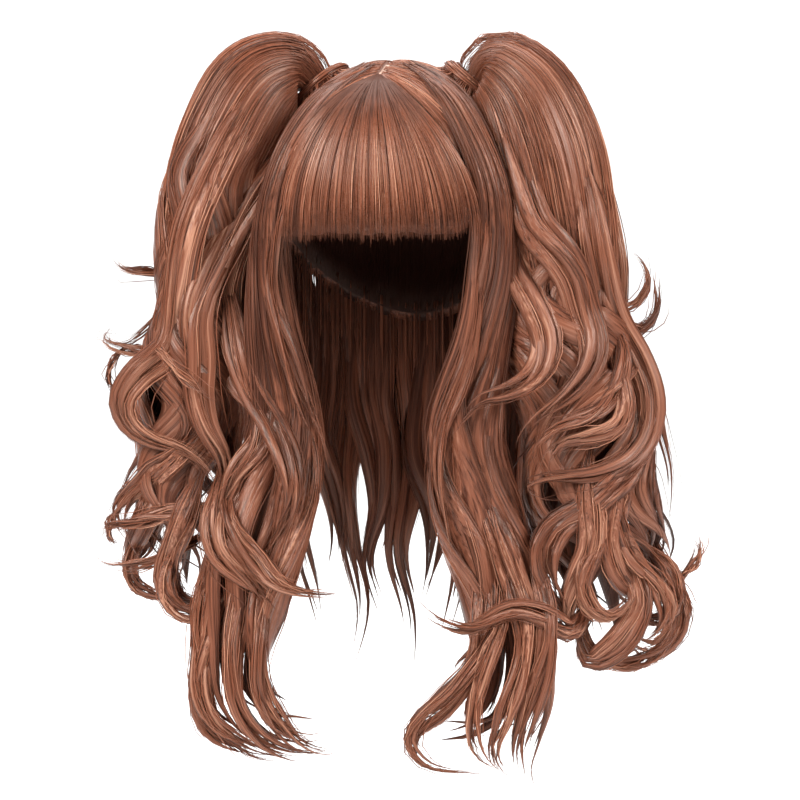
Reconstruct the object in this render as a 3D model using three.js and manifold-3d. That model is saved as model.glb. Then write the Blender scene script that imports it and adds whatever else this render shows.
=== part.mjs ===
// A long wavy wig with a straight fringe and two high pigtails, worn on a head.
// Millimetres, +Z up, face towards -Y, the wearer's left towards +X.
// The origin is the inside top of the cap, where the wig sits on the head.

import * as THREE from "three";
import { mergeVertices } from "three/addons/utils/BufferGeometryUtils.js";
import Module from "manifold-3d";

const wasm = await Module();
wasm.setup();

// The hollow that takes the head, and the hair that lies flat over it
const HEAD_WIDTH = 152;
const HEAD_LENGTH = 190;
const HEAD_RISE = 95; // from the widest level of the head up to its top
const CROWN_WALL = 9;
const HAIRLINE_DROP = 52; // from the top down to the cap's front edge
const NAPE_DROP = 150; // from the top down to the cap's edge at the nape
const RIM_REACH = 0.86; // how much of the head's length lies between the two rims
const RIM_CUTTER = 3 * HEAD_LENGTH; // wider than the head all round

// The parting runs along the top, from the whorl above the fringe backwards
const PARTING_FRONT = 52;
const PARTING_BACK = 34;
const PARTING_WIDTH = 4;
const PARTING_DEPTH = 3;
const STRIP_THICKNESS = 1;

// The fringe
const FRINGE_DROP = 111;
const FRINGE_HALF_WIDTH = 62;
const FRINGE_THICKNESS = 7;

// The long hair of the wig itself
const HAIR_SPREAD = 150; // from the middle out to the widest point
const HAIR_FALL = 480; // from the top of the cap down to the lowest tip
const HAIR_DEPTH = 100; // from the middle forwards to the lowest front locks
const BACK_FALL = 425;
const BACK_THICKNESS = 14;

// The pigtails, each measured from the middle of its tie
const TIE_OUT = 0.316 * HEAD_WIDTH; // from the middle of the head to the tie
const TIE_RADIUS = 17;
const TIE_CORD_RADIUS = 5;
const TIE_SEAT = 0.6; // its height on the crown, as a share of its cord's radius
const PIGTAIL_SPREAD = 150;
const PIGTAIL_FALL = 400;
const PIGTAIL_DEPTH = 60;

const GAP = 0.3; // between pieces that touch
const LOCK_GAP = 0.5; // between two heads of hair, whose faces are twisted
const VIEW_TURN = THREE.MathUtils.degToRad(12); // the locks are set out as seen from here

const LOCK_SIDES = 5;
const LOCK_STEPS = 10;
const BODY_SIDES = 10;
const BODY_STEPS = 12;

const MIDDLE = new THREE.Vector3(0, 0, -HEAD_RISE);
const TOWARDS_VIEW = new THREE.Vector3(Math.sin(VIEW_TURN), -Math.cos(VIEW_TURN), 0);
const towardsView = () => TOWARDS_VIEW.clone();

// Each row of a path is one point: across, down and front, as shares of the
// spread, the fall and the depth that the hair follows. A body's row also has
// its half width and half depth there, as shares of the spread and the depth.
// across grows outwards from the tie, and in the long hair to the view's right.

const RIGHT_PIGTAIL_BODY = [
  [0.0, 0.01, 0.0, 0.07, 0.2],
  [0.12, -0.03, 0.05, 0.14, 0.4],
  [0.27, -0.005, 0.15, 0.21, 0.54],
  [0.4, 0.09, 0.25, 0.23, 0.62],
  [0.51, 0.2, 0.28, 0.2, 0.6],
  [0.58, 0.295, 0.3, 0.15, 0.5],
  [0.56, 0.38, 0.32, 0.15, 0.5],
  [0.58, 0.475, 0.38, 0.2, 0.55],
  [0.58, 0.575, 0.42, 0.23, 0.55],
  [0.6, 0.67, 0.45, 0.22, 0.55],
  [0.61, 0.76, 0.45, 0.18, 0.45],
  [0.6, 0.83, 0.45, 0.08, 0.2],
];

const LEFT_PIGTAIL_BODY = [
  [0.0, 0.01, 0.0, 0.07, 0.2],
  [0.1, -0.025, 0.05, 0.16, 0.42],
  [0.2, 0.015, 0.15, 0.235, 0.58],
  [0.28, 0.11, 0.25, 0.29, 0.66],
  [0.33, 0.21, 0.28, 0.29, 0.68],
  [0.37, 0.29, 0.3, 0.27, 0.64],
  [0.4, 0.38, 0.32, 0.24, 0.6],
  [0.45, 0.475, 0.4, 0.26, 0.6],
  [0.51, 0.57, 0.45, 0.28, 0.62],
  [0.53, 0.67, 0.5, 0.27, 0.6],
  [0.58, 0.765, 0.5, 0.23, 0.5],
  [0.62, 0.85, 0.5, 0.17, 0.4],
  [0.64, 0.91, 0.5, 0.08, 0.2],
];

// Half widths and half thicknesses of the locks are shares of the spread.
const RIGHT_PIGTAIL_LOCKS = [
  {
    wide: 0.08, thick: 0.045,
    path: [
      [0.1, -0.03, 0.0], [0.25, -0.035, 0.0], [0.45, 0.0, 0.0], [0.61, 0.105, 0.0],
      [0.68, 0.22, 0.05], [0.67, 0.33, 0.15], [0.76, 0.4, 0.25], [0.89, 0.435, 0.3],
      [0.97, 0.42, 0.3], [0.95, 0.405, 0.3],
    ],
  },
  {
    wide: 0.03, thick: 0.02,
    path: [
      [0.58, 0.28, 0.2], [0.7, 0.31, 0.15], [0.8, 0.312, 0.15], [0.9, 0.3, 0.15],
      [0.955, 0.27, 0.15],
    ],
  },
  {
    wide: 0.12, thick: 0.05,
    path: [
      [0.06, 0.0, 0.25], [0.18, 0.0, 0.45], [0.33, 0.055, 0.6], [0.46, 0.155, 0.65],
      [0.565, 0.25, 0.65], [0.62, 0.345, 0.7], [0.66, 0.435, 0.85], [0.78, 0.476, 1.0],
      [0.85, 0.52, 1.0], [0.82, 0.56, 1.0], [0.72, 0.585, 1.05], [0.6, 0.6, 1.1],
      [0.48, 0.64, 1.1], [0.43, 0.7, 1.05],
    ],
  },
  {
    wide: 0.12, thick: 0.045,
    path: [
      [0.08, 0.035, 0.4], [0.18, 0.12, 0.65], [0.32, 0.2, 0.75], [0.45, 0.29, 0.8],
      [0.53, 0.38, 0.8], [0.525, 0.455, 0.85], [0.53, 0.51, 0.9], [0.5, 0.565, 0.95],
      [0.43, 0.615, 1.0], [0.42, 0.67, 1.05], [0.46, 0.72, 1.05], [0.48, 0.76, 1.05],
    ],
  },
  {
    wide: 0.09, thick: 0.045,
    path: [
      [0.13, 0.07, 0.3], [0.27, 0.185, 0.5], [0.4, 0.29, 0.6], [0.42, 0.385, 0.65],
      [0.38, 0.44, 0.7], [0.37, 0.49, 0.75], [0.28, 0.525, 0.9], [0.22, 0.555, 0.95],
      [0.29, 0.6, 1.0], [0.38, 0.645, 1.0], [0.4, 0.69, 1.0],
    ],
  },
  {
    wide: 0.075, thick: 0.04,
    path: [
      [0.5, 0.57, 0.5], [0.68, 0.63, 0.6], [0.785, 0.656, 0.65], [0.86, 0.69, 0.65],
      [0.9, 0.72, 0.6], [0.82, 0.745, 0.55],
    ],
  },
  {
    wide: 0.085, thick: 0.045,
    path: [
      [0.5, 0.62, 0.7], [0.59, 0.71, 0.95], [0.65, 0.765, 1.0], [0.66, 0.81, 1.05],
      [0.62, 0.845, 1.05], [0.55, 0.855, 1.05], [0.46, 0.84, 1.05], [0.39, 0.8, 1.0],
    ],
  },
  {
    wide: 0.085, thick: 0.045,
    path: [
      [0.6, 0.58, 0.3], [0.76, 0.7, 0.4], [0.83, 0.77, 0.45], [0.83, 0.815, 0.45],
      [0.77, 0.845, 0.5], [0.67, 0.85, 0.55],
    ],
  },
  {
    wide: 0.07, thick: 0.035,
    path: [
      [0.4, 0.57, 0.85], [0.42, 0.66, 1.1], [0.45, 0.71, 1.2], [0.42, 0.755, 1.25],
      [0.33, 0.79, 1.3], [0.24, 0.82, 1.35], [0.15, 0.865, 1.4],
    ],
  },
  {
    wide: 0.055, thick: 0.03,
    path: [
      [0.41, 0.62, 1.0], [0.37, 0.71, 1.2], [0.28, 0.765, 1.35], [0.17, 0.8, 1.45],
      [0.06, 0.816, 1.55], [-0.06, 0.83, 1.6],
    ],
  },
  {
    wide: 0.03, thick: 0.02,
    path: [
      [0.66, 0.68, 0.4], [0.78, 0.77, 0.35], [0.87, 0.796, 0.35], [0.98, 0.775, 0.35],
    ],
  },
  {
    wide: 0.11, thick: 0.05,
    path: [
      [0.14, 0.0, -0.35], [0.36, 0.06, -0.55], [0.52, 0.2, -0.5], [0.5, 0.34, -0.35],
      [0.58, 0.47, -0.25], [0.5, 0.58, -0.2], [0.6, 0.69, -0.15], [0.52, 0.78, -0.1],
      [0.56, 0.86, 0.0],
    ],
  },
  {
    wide: 0.1, thick: 0.05,
    path: [
      [0.2, -0.02, -0.35], [0.43, 0.02, -0.4], [0.58, 0.12, -0.4], [0.64, 0.22, -0.35],
      [0.62, 0.33, -0.2], [0.6, 0.42, -0.1], [0.7, 0.5, -0.05], [0.74, 0.585, 0.0],
      [0.68, 0.66, 0.0], [0.75, 0.74, 0.05], [0.69, 0.82, 0.1],
    ],
  },
];

const LEFT_PIGTAIL_LOCKS = [
  {
    wide: 0.07, thick: 0.04,
    path: [
      [0.1, -0.03, 0.0], [0.22, -0.035, 0.0], [0.385, 0.01, 0.0], [0.53, 0.106, 0.0],
      [0.6, 0.22, 0.1], [0.635, 0.315, 0.15], [0.64, 0.38, 0.2], [0.69, 0.444, 0.3],
      [0.78, 0.5, 0.4], [0.835, 0.582, 0.45], [0.86, 0.64, 0.5], [0.84, 0.72, 0.5],
      [0.8, 0.77, 0.5],
    ],
  },
  {
    wide: 0.12, thick: 0.05,
    path: [
      [0.03, 0.01, 0.3], [0.12, 0.08, 0.65], [0.2, 0.17, 0.8], [0.26, 0.243, 0.85],
      [0.37, 0.288, 0.9], [0.44, 0.325, 0.9], [0.48, 0.375, 0.95], [0.515, 0.421, 1.0],
      [0.49, 0.465, 1.05], [0.4, 0.505, 1.15], [0.275, 0.542, 1.25], [0.2, 0.58, 1.25],
      [0.2, 0.615, 1.2],
    ],
  },
  {
    wide: 0.105, thick: 0.045,
    path: [
      [-0.02, 0.04, 0.4], [-0.01, 0.13, 0.75], [0.03, 0.215, 0.85], [0.08, 0.27, 0.9],
      [0.17, 0.31, 0.9], [0.275, 0.363, 0.95], [0.33, 0.41, 1.0], [0.31, 0.457, 1.1],
      [0.24, 0.49, 1.2], [0.125, 0.51, 1.3], [0.03, 0.52, 1.35], [-0.05, 0.555, 1.4],
      [-0.12, 0.59, 1.45],
    ],
  },
  {
    wide: 0.11, thick: 0.045,
    path: [
      [0.38, 0.05, 0.3], [0.48, 0.17, 0.5], [0.54, 0.29, 0.6], [0.6, 0.39, 0.65],
      [0.7, 0.46, 0.7], [0.755, 0.52, 0.75], [0.74, 0.575, 0.85], [0.65, 0.615, 0.95],
      [0.5, 0.637, 1.1], [0.31, 0.642, 1.2], [0.21, 0.655, 1.2], [0.3, 0.678, 1.1],
      [0.43, 0.672, 0.95],
    ],
  },
  {
    wide: 0.1, thick: 0.045,
    path: [
      [0.7, 0.54, 0.6], [0.7, 0.61, 0.75], [0.6, 0.655, 0.9], [0.48, 0.69, 1.0],
      [0.36, 0.72, 1.1], [0.3, 0.76, 1.15], [0.32, 0.81, 1.15], [0.4, 0.86, 1.15],
      [0.44, 0.9, 1.1],
    ],
  },
  {
    wide: 0.09, thick: 0.045,
    path: [
      [0.55, 0.62, 0.7], [0.6, 0.73, 0.95], [0.67, 0.79, 1.05], [0.71, 0.84, 1.1],
      [0.66, 0.88, 1.15], [0.57, 0.92, 1.15], [0.49, 0.935, 1.15], [0.45, 0.9, 1.1],
      [0.47, 0.85, 1.0],
    ],
  },
  {
    wide: 0.09, thick: 0.045,
    path: [
      [0.66, 0.58, 0.5], [0.62, 0.68, 0.75], [0.59, 0.74, 0.9], [0.65, 0.795, 0.9],
      [0.76, 0.82, 0.85], [0.87, 0.82, 0.8], [0.945, 0.79, 0.75], [0.98, 0.755, 0.7],
      [0.96, 0.735, 0.65],
    ],
  },
  {
    wide: 0.08, thick: 0.045,
    path: [
      [0.66, 0.68, 0.3], [0.82, 0.79, 0.35], [0.9, 0.85, 0.4], [0.89, 0.895, 0.45],
      [0.8, 0.93, 0.5], [0.72, 0.92, 0.6], [0.65, 0.89, 0.7],
    ],
  },
  {
    wide: 0.055, thick: 0.035,
    path: [
      [0.46, 0.76, 0.8], [0.49, 0.85, 1.05], [0.42, 0.885, 1.2], [0.3, 0.86, 1.35],
      [0.15, 0.85, 1.45], [-0.02, 0.872, 1.55], [-0.17, 0.855, 1.6], [-0.28, 0.82, 1.6],
    ],
  },
  {
    wide: 0.06, thick: 0.03,
    path: [
      [0.62, 0.4, 0.5], [0.68, 0.455, 0.7], [0.57, 0.495, 0.9], [0.45, 0.53, 1.1],
      [0.37, 0.57, 1.2], [0.32, 0.61, 1.25], [0.32, 0.64, 1.25],
    ],
  },
  {
    wide: 0.035, thick: 0.022,
    path: [
      [0.58, 0.36, 0.3], [0.69, 0.398, 0.25], [0.75, 0.405, 0.25], [0.81, 0.385, 0.25],
      [0.82, 0.345, 0.25], [0.8, 0.3, 0.25],
    ],
  },
  {
    wide: 0.12, thick: 0.05,
    path: [
      [0.22, 0.0, -0.2], [0.35, 0.07, -0.5], [0.47, 0.18, -0.55], [0.5, 0.31, -0.5],
      [0.54, 0.43, -0.4], [0.6, 0.55, -0.35], [0.52, 0.67, -0.3], [0.64, 0.79, -0.25],
      [0.58, 0.9, -0.15],
    ],
  },
];

const RIGHT_HAIR_BODY = [
  [-0.1, 0.01, 0.3, 0.05, 0.03],
  [-0.28, 0.045, 0.46, 0.07, 0.04],
  [-0.4, 0.11, 0.56, 0.07, 0.05],
  [-0.47, 0.19, 0.58, 0.075, 0.06],
  [-0.5, 0.265, 0.56, 0.09, 0.07],
  [-0.46, 0.355, 0.56, 0.11, 0.08],
  [-0.43, 0.445, 0.56, 0.14, 0.09],
  [-0.45, 0.525, 0.58, 0.15, 0.1],
  [-0.55, 0.61, 0.64, 0.16, 0.1],
  [-0.65, 0.69, 0.7, 0.16, 0.1],
  [-0.7, 0.77, 0.76, 0.155, 0.1],
  [-0.68, 0.84, 0.82, 0.135, 0.08],
  [-0.56, 0.885, 0.86, 0.085, 0.06],
  [-0.38, 0.9, 0.9, 0.03, 0.02],
];

const LEFT_HAIR_BODY = [
  [0.04, 0.01, 0.3, 0.05, 0.03],
  [0.18, 0.035, 0.46, 0.08, 0.04],
  [0.27, 0.1, 0.6, 0.08, 0.05],
  [0.33, 0.18, 0.6, 0.085, 0.06],
  [0.37, 0.26, 0.58, 0.095, 0.07],
  [0.38, 0.355, 0.58, 0.11, 0.08],
  [0.32, 0.445, 0.58, 0.13, 0.09],
  [0.3, 0.525, 0.6, 0.14, 0.1],
  [0.35, 0.61, 0.64, 0.15, 0.1],
  [0.45, 0.69, 0.7, 0.16, 0.1],
  [0.52, 0.77, 0.76, 0.165, 0.1],
  [0.48, 0.84, 0.82, 0.145, 0.08],
  [0.35, 0.885, 0.86, 0.09, 0.06],
  [0.17, 0.895, 0.9, 0.03, 0.02],
];

const RIGHT_HAIR_LOCKS = [
  {
    wide: 0.07, thick: 0.035,
    path: [
      [-0.38, 0.1, 0.66], [-0.46, 0.2, 0.68], [-0.47, 0.29, 0.66], [-0.41, 0.36, 0.66],
      [-0.33, 0.42, 0.68], [-0.27, 0.475, 0.7], [-0.25, 0.52, 0.72],
    ],
  },
  {
    wide: 0.075, thick: 0.045,
    path: [
      [-0.42, 0.44, 0.6], [-0.36, 0.52, 0.68], [-0.38, 0.58, 0.74], [-0.46, 0.65, 0.78],
      [-0.55, 0.72, 0.84], [-0.58, 0.79, 0.9], [-0.53, 0.86, 0.95], [-0.38, 0.888, 0.98],
      [-0.24, 0.88, 1.0],
    ],
  },
  {
    wide: 0.07, thick: 0.04,
    path: [
      [-0.66, 0.67, 0.75], [-0.81, 0.76, 0.8], [-0.88, 0.84, 0.82], [-0.84, 0.9, 0.84],
      [-0.7, 0.93, 0.88], [-0.5, 0.94, 0.9],
    ],
  },
];

const LEFT_HAIR_LOCKS = [
  {
    wide: 0.07, thick: 0.035,
    path: [
      [0.24, 0.1, 0.7], [0.3, 0.2, 0.72], [0.32, 0.29, 0.7], [0.3, 0.37, 0.68],
      [0.24, 0.43, 0.69], [0.19, 0.48, 0.72], [0.18, 0.54, 0.76], [0.22, 0.61, 0.78],
      [0.27, 0.68, 0.79],
    ],
  },
  {
    wide: 0.08, thick: 0.045,
    path: [
      [0.34, 0.48, 0.6], [0.4, 0.58, 0.7], [0.5, 0.67, 0.8], [0.58, 0.75, 0.86],
      [0.62, 0.83, 0.88], [0.58, 0.9, 0.86], [0.56, 0.94, 0.84], [0.59, 0.965, 0.84],
    ],
  },
  {
    wide: 0.075, thick: 0.045,
    path: [
      [0.36, 0.62, 0.7], [0.38, 0.72, 0.82], [0.33, 0.8, 0.88], [0.2, 0.85, 0.94],
      [0.07, 0.88, 0.97], [0.08, 0.92, 0.96], [0.2, 0.935, 0.95],
    ],
  },
];

// One row for each lock down the back: how far round it leaves the crown, as a
// share of the back's turn, how far down it leaves it, as a share of a quarter
// turn from the top, its fall as a share of the back's fall, and the phase of
// its wave in whole waves.
const BACK_LOCKS = [
  { round: -1.0, root: 0.8, fall: 0.8, phase: 0.55 },
  { round: -0.72, root: 0.52, fall: 0.9, phase: 0.1 },
  { round: -0.43, root: 0.3, fall: 0.97, phase: 0.45 },
  { round: -0.14, root: 0.27, fall: 1.0, phase: 0.2 },
  { round: 0.14, root: 0.27, fall: 0.98, phase: 0.6 },
  { round: 0.43, root: 0.3, fall: 1.0, phase: 0.3 },
  { round: 0.72, root: 0.52, fall: 0.91, phase: 0.75 },
  { round: 1.0, root: 0.8, fall: 0.82, phase: 0.0 },
];
const BACK_TURN = THREE.MathUtils.degToRad(98);
const BACK_GATHER = 0.25; // how much closer together the locks are at their tips
const BACK_LOCK_HALF_WIDTH = 29;
const BACK_WAVE = 9; // how far a back lock swings to each side
const BACK_WAVES = 2.2; // full waves in the length of a back lock

// Where each lock of the fringe ends, as a share of the fringe's half width,
// and how far down, as a share of the fringe's drop.
const FRINGE_LOCKS = [
  { across: -1.0, drop: 0.955 },
  { across: -0.67, drop: 0.99 },
  { across: -0.33, drop: 1.0 },
  { across: 0.0, drop: 0.99 },
  { across: 0.33, drop: 1.0 },
  { across: 0.67, drop: 0.985 },
  { across: 1.0, drop: 0.955 },
];
const FRINGE_LOCK_HALF_WIDTH = 13;

function solid(geometry) {
  const plain = geometry.clone();
  plain.deleteAttribute("normal");
  plain.deleteAttribute("uv");
  const merged = mergeVertices(plain, 1e-4);
  return new wasm.Manifold(
    new wasm.Mesh({
      numProp: 3,
      vertProperties: new Float32Array(merged.attributes.position.array),
      triVerts: new Uint32Array(merged.index.array),
    }),
  );
}

const join = (solids) => solids.reduce((whole, next) => whole.add(next));

// The largest body, once a cut has left slivers beside it
function largest(cut) {
  return cut.decompose().reduce((a, b) => (b.volume() > a.volume() ? b : a));
}

// The head's rounded form, larger all round by lift
const HEAD_SIDES = 24;
const HEAD_RINGS = 13;
function headForm(lift) {
  const form = new THREE.SphereGeometry(1, HEAD_SIDES, HEAD_RINGS);
  form.rotateX(Math.PI / 2);
  form.scale(HEAD_WIDTH / 2 + lift, HEAD_LENGTH / 2 + lift, HEAD_RISE + lift);
  form.translate(...MIDDLE);
  return solid(form);
}

// Moves a point that is inside the head's form, larger by lift, out onto it
function clearOfHead(point, lift) {
  const from = point.clone().sub(MIDDLE);
  const reach = Math.hypot(
    from.x / (HEAD_WIDTH / 2 + lift),
    from.y / (HEAD_LENGTH / 2 + lift),
    from.z / (HEAD_RISE + lift),
  );
  return reach < 1 ? from.divideScalar(reach).add(MIDDLE) : point;
}

// A point of the crown's outer surface above (x, y)
function onCrown(x, y) {
  const rx = HEAD_WIDTH / 2 + CROWN_WALL;
  const ry = HEAD_LENGTH / 2 + CROWN_WALL;
  const rise = Math.sqrt(1 - (x / rx) ** 2 - (y / ry) ** 2);
  return new THREE.Vector3(x, y, -HEAD_RISE + (HEAD_RISE + CROWN_WALL) * rise);
}

// From the view that the locks are set out in, to the wig's own axes
function fromView(right, towards, up) {
  return new THREE.Vector3(
    right * Math.cos(VIEW_TURN) + towards * Math.sin(VIEW_TURN),
    right * Math.sin(VIEW_TURN) - towards * Math.cos(VIEW_TURN),
    up,
  );
}

// Which way the flat of a lock faces: off the head while it lies on it, and
// towards the view where it hangs
const HANGING_LEVEL = -1.6 * HEAD_RISE;
const LYING_LEVEL = -0.6 * HEAD_RISE;
function facing(point) {
  const off = point.clone().sub(MIDDLE).normalize();
  const lying = THREE.MathUtils.smoothstep(point.z, HANGING_LEVEL, LYING_LEVEL);
  return off.multiplyScalar(lying).addScaledVector(TOWARDS_VIEW, 1 - lying);
}

// Straight off the head above its middle, and level from its axis below
function outwards(point) {
  const level = Math.max(point.z, -HEAD_RISE);
  return new THREE.Vector3(point.x, point.y, level + HEAD_RISE).normalize();
}

// Sweeps an oval section along a curve. size(t) gives its half width and half
// thickness, and grow makes it fatter all round, for cutting a neighbour.
function sweep(curve, size, faces, sides, steps, grow = 0) {
  const tube = new THREE.CylinderGeometry(1, 1, 1, sides, steps);
  const frames = [];
  let normal = faces(curve.getPointAt(0));
  for (let i = 0; i <= steps; i++) {
    const at = curve.getPointAt(i / steps);
    const tangent = curve.getTangentAt(i / steps);
    normal = normal.clone().add(faces(at));
    normal.addScaledVector(tangent, -normal.dot(tangent)).normalize();
    frames.push({ at, tangent, normal, side: tangent.clone().cross(normal) });
  }
  const position = tube.attributes.position;
  for (let i = 0; i < position.count; i++) {
    const t = position.getY(i) + 0.5;
    const { at, tangent, normal, side } = frames[Math.round(t * steps)];
    const [wide, thick] = size(t);
    const end = t < 0.5 / steps ? -grow : t > 1 - 0.5 / steps ? grow : 0;
    const point = at
      .clone()
      .addScaledVector(side, position.getX(i) * (wide + grow))
      .addScaledVector(normal, position.getZ(i) * (thick + grow))
      .addScaledVector(tangent, end);
    position.setXYZ(i, ...point);
  }
  return solid(tube);
}

// A lock swells from its root, keeps its width and thins to its tip
const ROOT_SHARE = 0.45;
const TIP_SHARE = 0.16;
const SWELL_END = 0.25; // how far along it is swollen, as a share of its length
const THIN_START = 0.55; // how far along it starts to thin
function lockSize(wide, thick) {
  return (t) => {
    const swell =
      ROOT_SHARE + (1 - ROOT_SHARE) * THREE.MathUtils.smoothstep(t, 0, SWELL_END);
    const thin = 1 - (1 - TIP_SHARE) * THREE.MathUtils.smoothstep(t, THIN_START, 1);
    return [wide * swell * thin, thick * swell * thin];
  };
}

// A fat body of hair through rows of points and sizes
function flow(points, sizes, faces, grow) {
  const curve = new THREE.CatmullRomCurve3(points);
  const sections = new THREE.CatmullRomCurve3(
    sizes.map(([wide, deep]) => new THREE.Vector3(wide, deep, 0)),
  );
  const size = (t) => {
    const section = sections.getPoint(curve.getUtoTmapping(t));
    return [section.x, section.y];
  };
  return sweep(curve, size, faces, BODY_SIDES, BODY_STEPS, grow);
}

// A pigtail hangs from its tie, which sits square on the crown
function pigtail(side, body, locks, grow = 0) {
  const tie = tieCentre(side);
  const place = ([across, down, front]) =>
    clearOfHead(
      fromView(
        side * across * PIGTAIL_SPREAD,
        front * PIGTAIL_DEPTH,
        -down * PIGTAIL_FALL,
      ).add(tie),
      CROWN_WALL,
    );
  const main = flow(
    body.map(place),
    body.map(([, , , wide, deep]) => [wide * PIGTAIL_SPREAD, deep * PIGTAIL_DEPTH]),
    towardsView,
    grow,
  );
  const hanging = locks.map(({ wide, thick, path }) => {
    const curve = new THREE.CatmullRomCurve3(path.map(place));
    const size = lockSize(wide * PIGTAIL_SPREAD, thick * PIGTAIL_SPREAD);
    return sweep(curve, size, towardsView, LOCK_SIDES, LOCK_STEPS, grow);
  });
  return join([main, ...hanging]);
}

const tieNormal = (side) =>
  new THREE.Vector3(
    (side * TIE_OUT) / (HEAD_WIDTH / 2 + CROWN_WALL) ** 2,
    0,
    (onCrown(TIE_OUT, 0).z + HEAD_RISE) / (HEAD_RISE + CROWN_WALL) ** 2,
  ).normalize();

const tieCentre = (side) =>
  onCrown(side * TIE_OUT, 0).addScaledVector(tieNormal(side), TIE_SEAT * TIE_CORD_RADIUS);

// The wound band round the root of a pigtail, pressed into the hair under it
const TIE_SIDES = 6;
const TIE_STEPS = 14;
function tieBand(side, grow = 0) {
  const thick = TIE_CORD_RADIUS + grow;
  const band = new THREE.TorusGeometry(TIE_RADIUS, thick, TIE_SIDES, TIE_STEPS);
  const turn = new THREE.Quaternion().setFromUnitVectors(
    new THREE.Vector3(0, 0, 1),
    tieNormal(side),
  );
  band.applyQuaternion(turn);
  band.translate(...tieCentre(side));
  return solid(band);
}

// The long hair at one side, from the parting down over the shoulder
function sideHair(body, locks, grow = 0) {
  const place = (thick) => ([across, down, front]) =>
    clearOfHead(
      fromView(across * HAIR_SPREAD, front * HAIR_DEPTH, -down * HAIR_FALL),
      CROWN_WALL + GAP + thick,
    );
  const curtain = flow(
    body.map((row) => place(row[4] * HAIR_DEPTH)(row)),
    body.map(([, , , wide, deep]) => [wide * HAIR_SPREAD, deep * HAIR_DEPTH]),
    facing,
    grow,
  );
  const hanging = locks.map(({ wide, thick, path }) => {
    const curve = new THREE.CatmullRomCurve3(path.map(place(thick * HAIR_SPREAD)));
    const size = lockSize(wide * HAIR_SPREAD, thick * HAIR_SPREAD);
    return sweep(curve, size, facing, LOCK_SIDES, LOCK_STEPS, grow);
  });
  return join([curtain, ...hanging]);
}

// The hair that runs back over the crown and hangs down the back, in waves
const BACK_CROWN_POINTS = 4;
const BACK_HANGING_POINTS = 8;
function backHair(grow = 0) {
  const lift = CROWN_WALL + BACK_THICKNESS / 2 + GAP;
  const out = HEAD_WIDTH / 2 + lift;
  const behind = HEAD_LENGTH / 2 + lift;
  return join(
    BACK_LOCKS.map(({ round, root, fall, phase }) => {
      const turn = round * BACK_TURN;
      const points = [];
      for (let i = 0; i < BACK_CROWN_POINTS; i++) {
        const angle = THREE.MathUtils.lerp(root, 1, i / BACK_CROWN_POINTS) * (Math.PI / 2);
        points.push(
          new THREE.Vector3(
            out * Math.sin(turn) * Math.sin(angle),
            behind * Math.cos(turn) * Math.sin(angle),
            (HEAD_RISE + lift) * Math.cos(angle) - HEAD_RISE,
          ),
        );
      }
      for (let i = 0; i < BACK_HANGING_POINTS; i++) {
        const t = i / (BACK_HANGING_POINTS - 1);
        const swing = BACK_WAVE * t * Math.sin(2 * Math.PI * (BACK_WAVES * t + phase));
        const angle = turn * (1 - BACK_GATHER * t);
        points.push(
          new THREE.Vector3(
            out * Math.sin(angle) + swing * Math.cos(angle),
            behind * Math.cos(angle) - swing * Math.sin(angle),
            THREE.MathUtils.lerp(-HEAD_RISE, -fall * BACK_FALL, t),
          ),
        );
      }
      const curve = new THREE.CatmullRomCurve3(points);
      const size = lockSize(BACK_LOCK_HALF_WIDTH, BACK_THICKNESS / 2);
      return sweep(curve, size, outwards, LOCK_SIDES, LOCK_STEPS, grow);
    }),
  );
}

// The hair that lies flat on the head, over the hollow that takes it
function crown() {
  const rim = new THREE.BoxGeometry(RIM_CUTTER, RIM_CUTTER, RIM_CUTTER);
  rim.translate(0, 0, -RIM_CUTTER / 2);
  const slope = Math.atan2(NAPE_DROP - HAIRLINE_DROP, HEAD_LENGTH * RIM_REACH);
  rim.rotateX(-slope);
  rim.translate(0, 0, -(HAIRLINE_DROP + NAPE_DROP) / 2);
  return headForm(CROWN_WALL)
    .subtract(headForm(0))
    .subtract(solid(rim))
    .subtract(partingGroove());
}

// A band that follows the crown's top from the whorl backwards. low and high
// are its levels above the crown's face, and clear narrows it all round.
function alongParting(low, high, clear) {
  const length = PARTING_FRONT + PARTING_BACK - 2 * clear;
  const slot = new THREE.BoxGeometry(PARTING_WIDTH - 2 * clear, length, HEAD_RISE);
  slot.translate(0, (PARTING_BACK - PARTING_FRONT) / 2, 0);
  return headForm(CROWN_WALL + high)
    .subtract(headForm(CROWN_WALL + low))
    .intersect(solid(slot));
}

const partingGroove = () => alongParting(-PARTING_DEPTH, PARTING_DEPTH, 0);

function partingStrip() {
  const low = GAP - PARTING_DEPTH;
  return alongParting(low, low + STRIP_THICKNESS, GAP);
}

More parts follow.
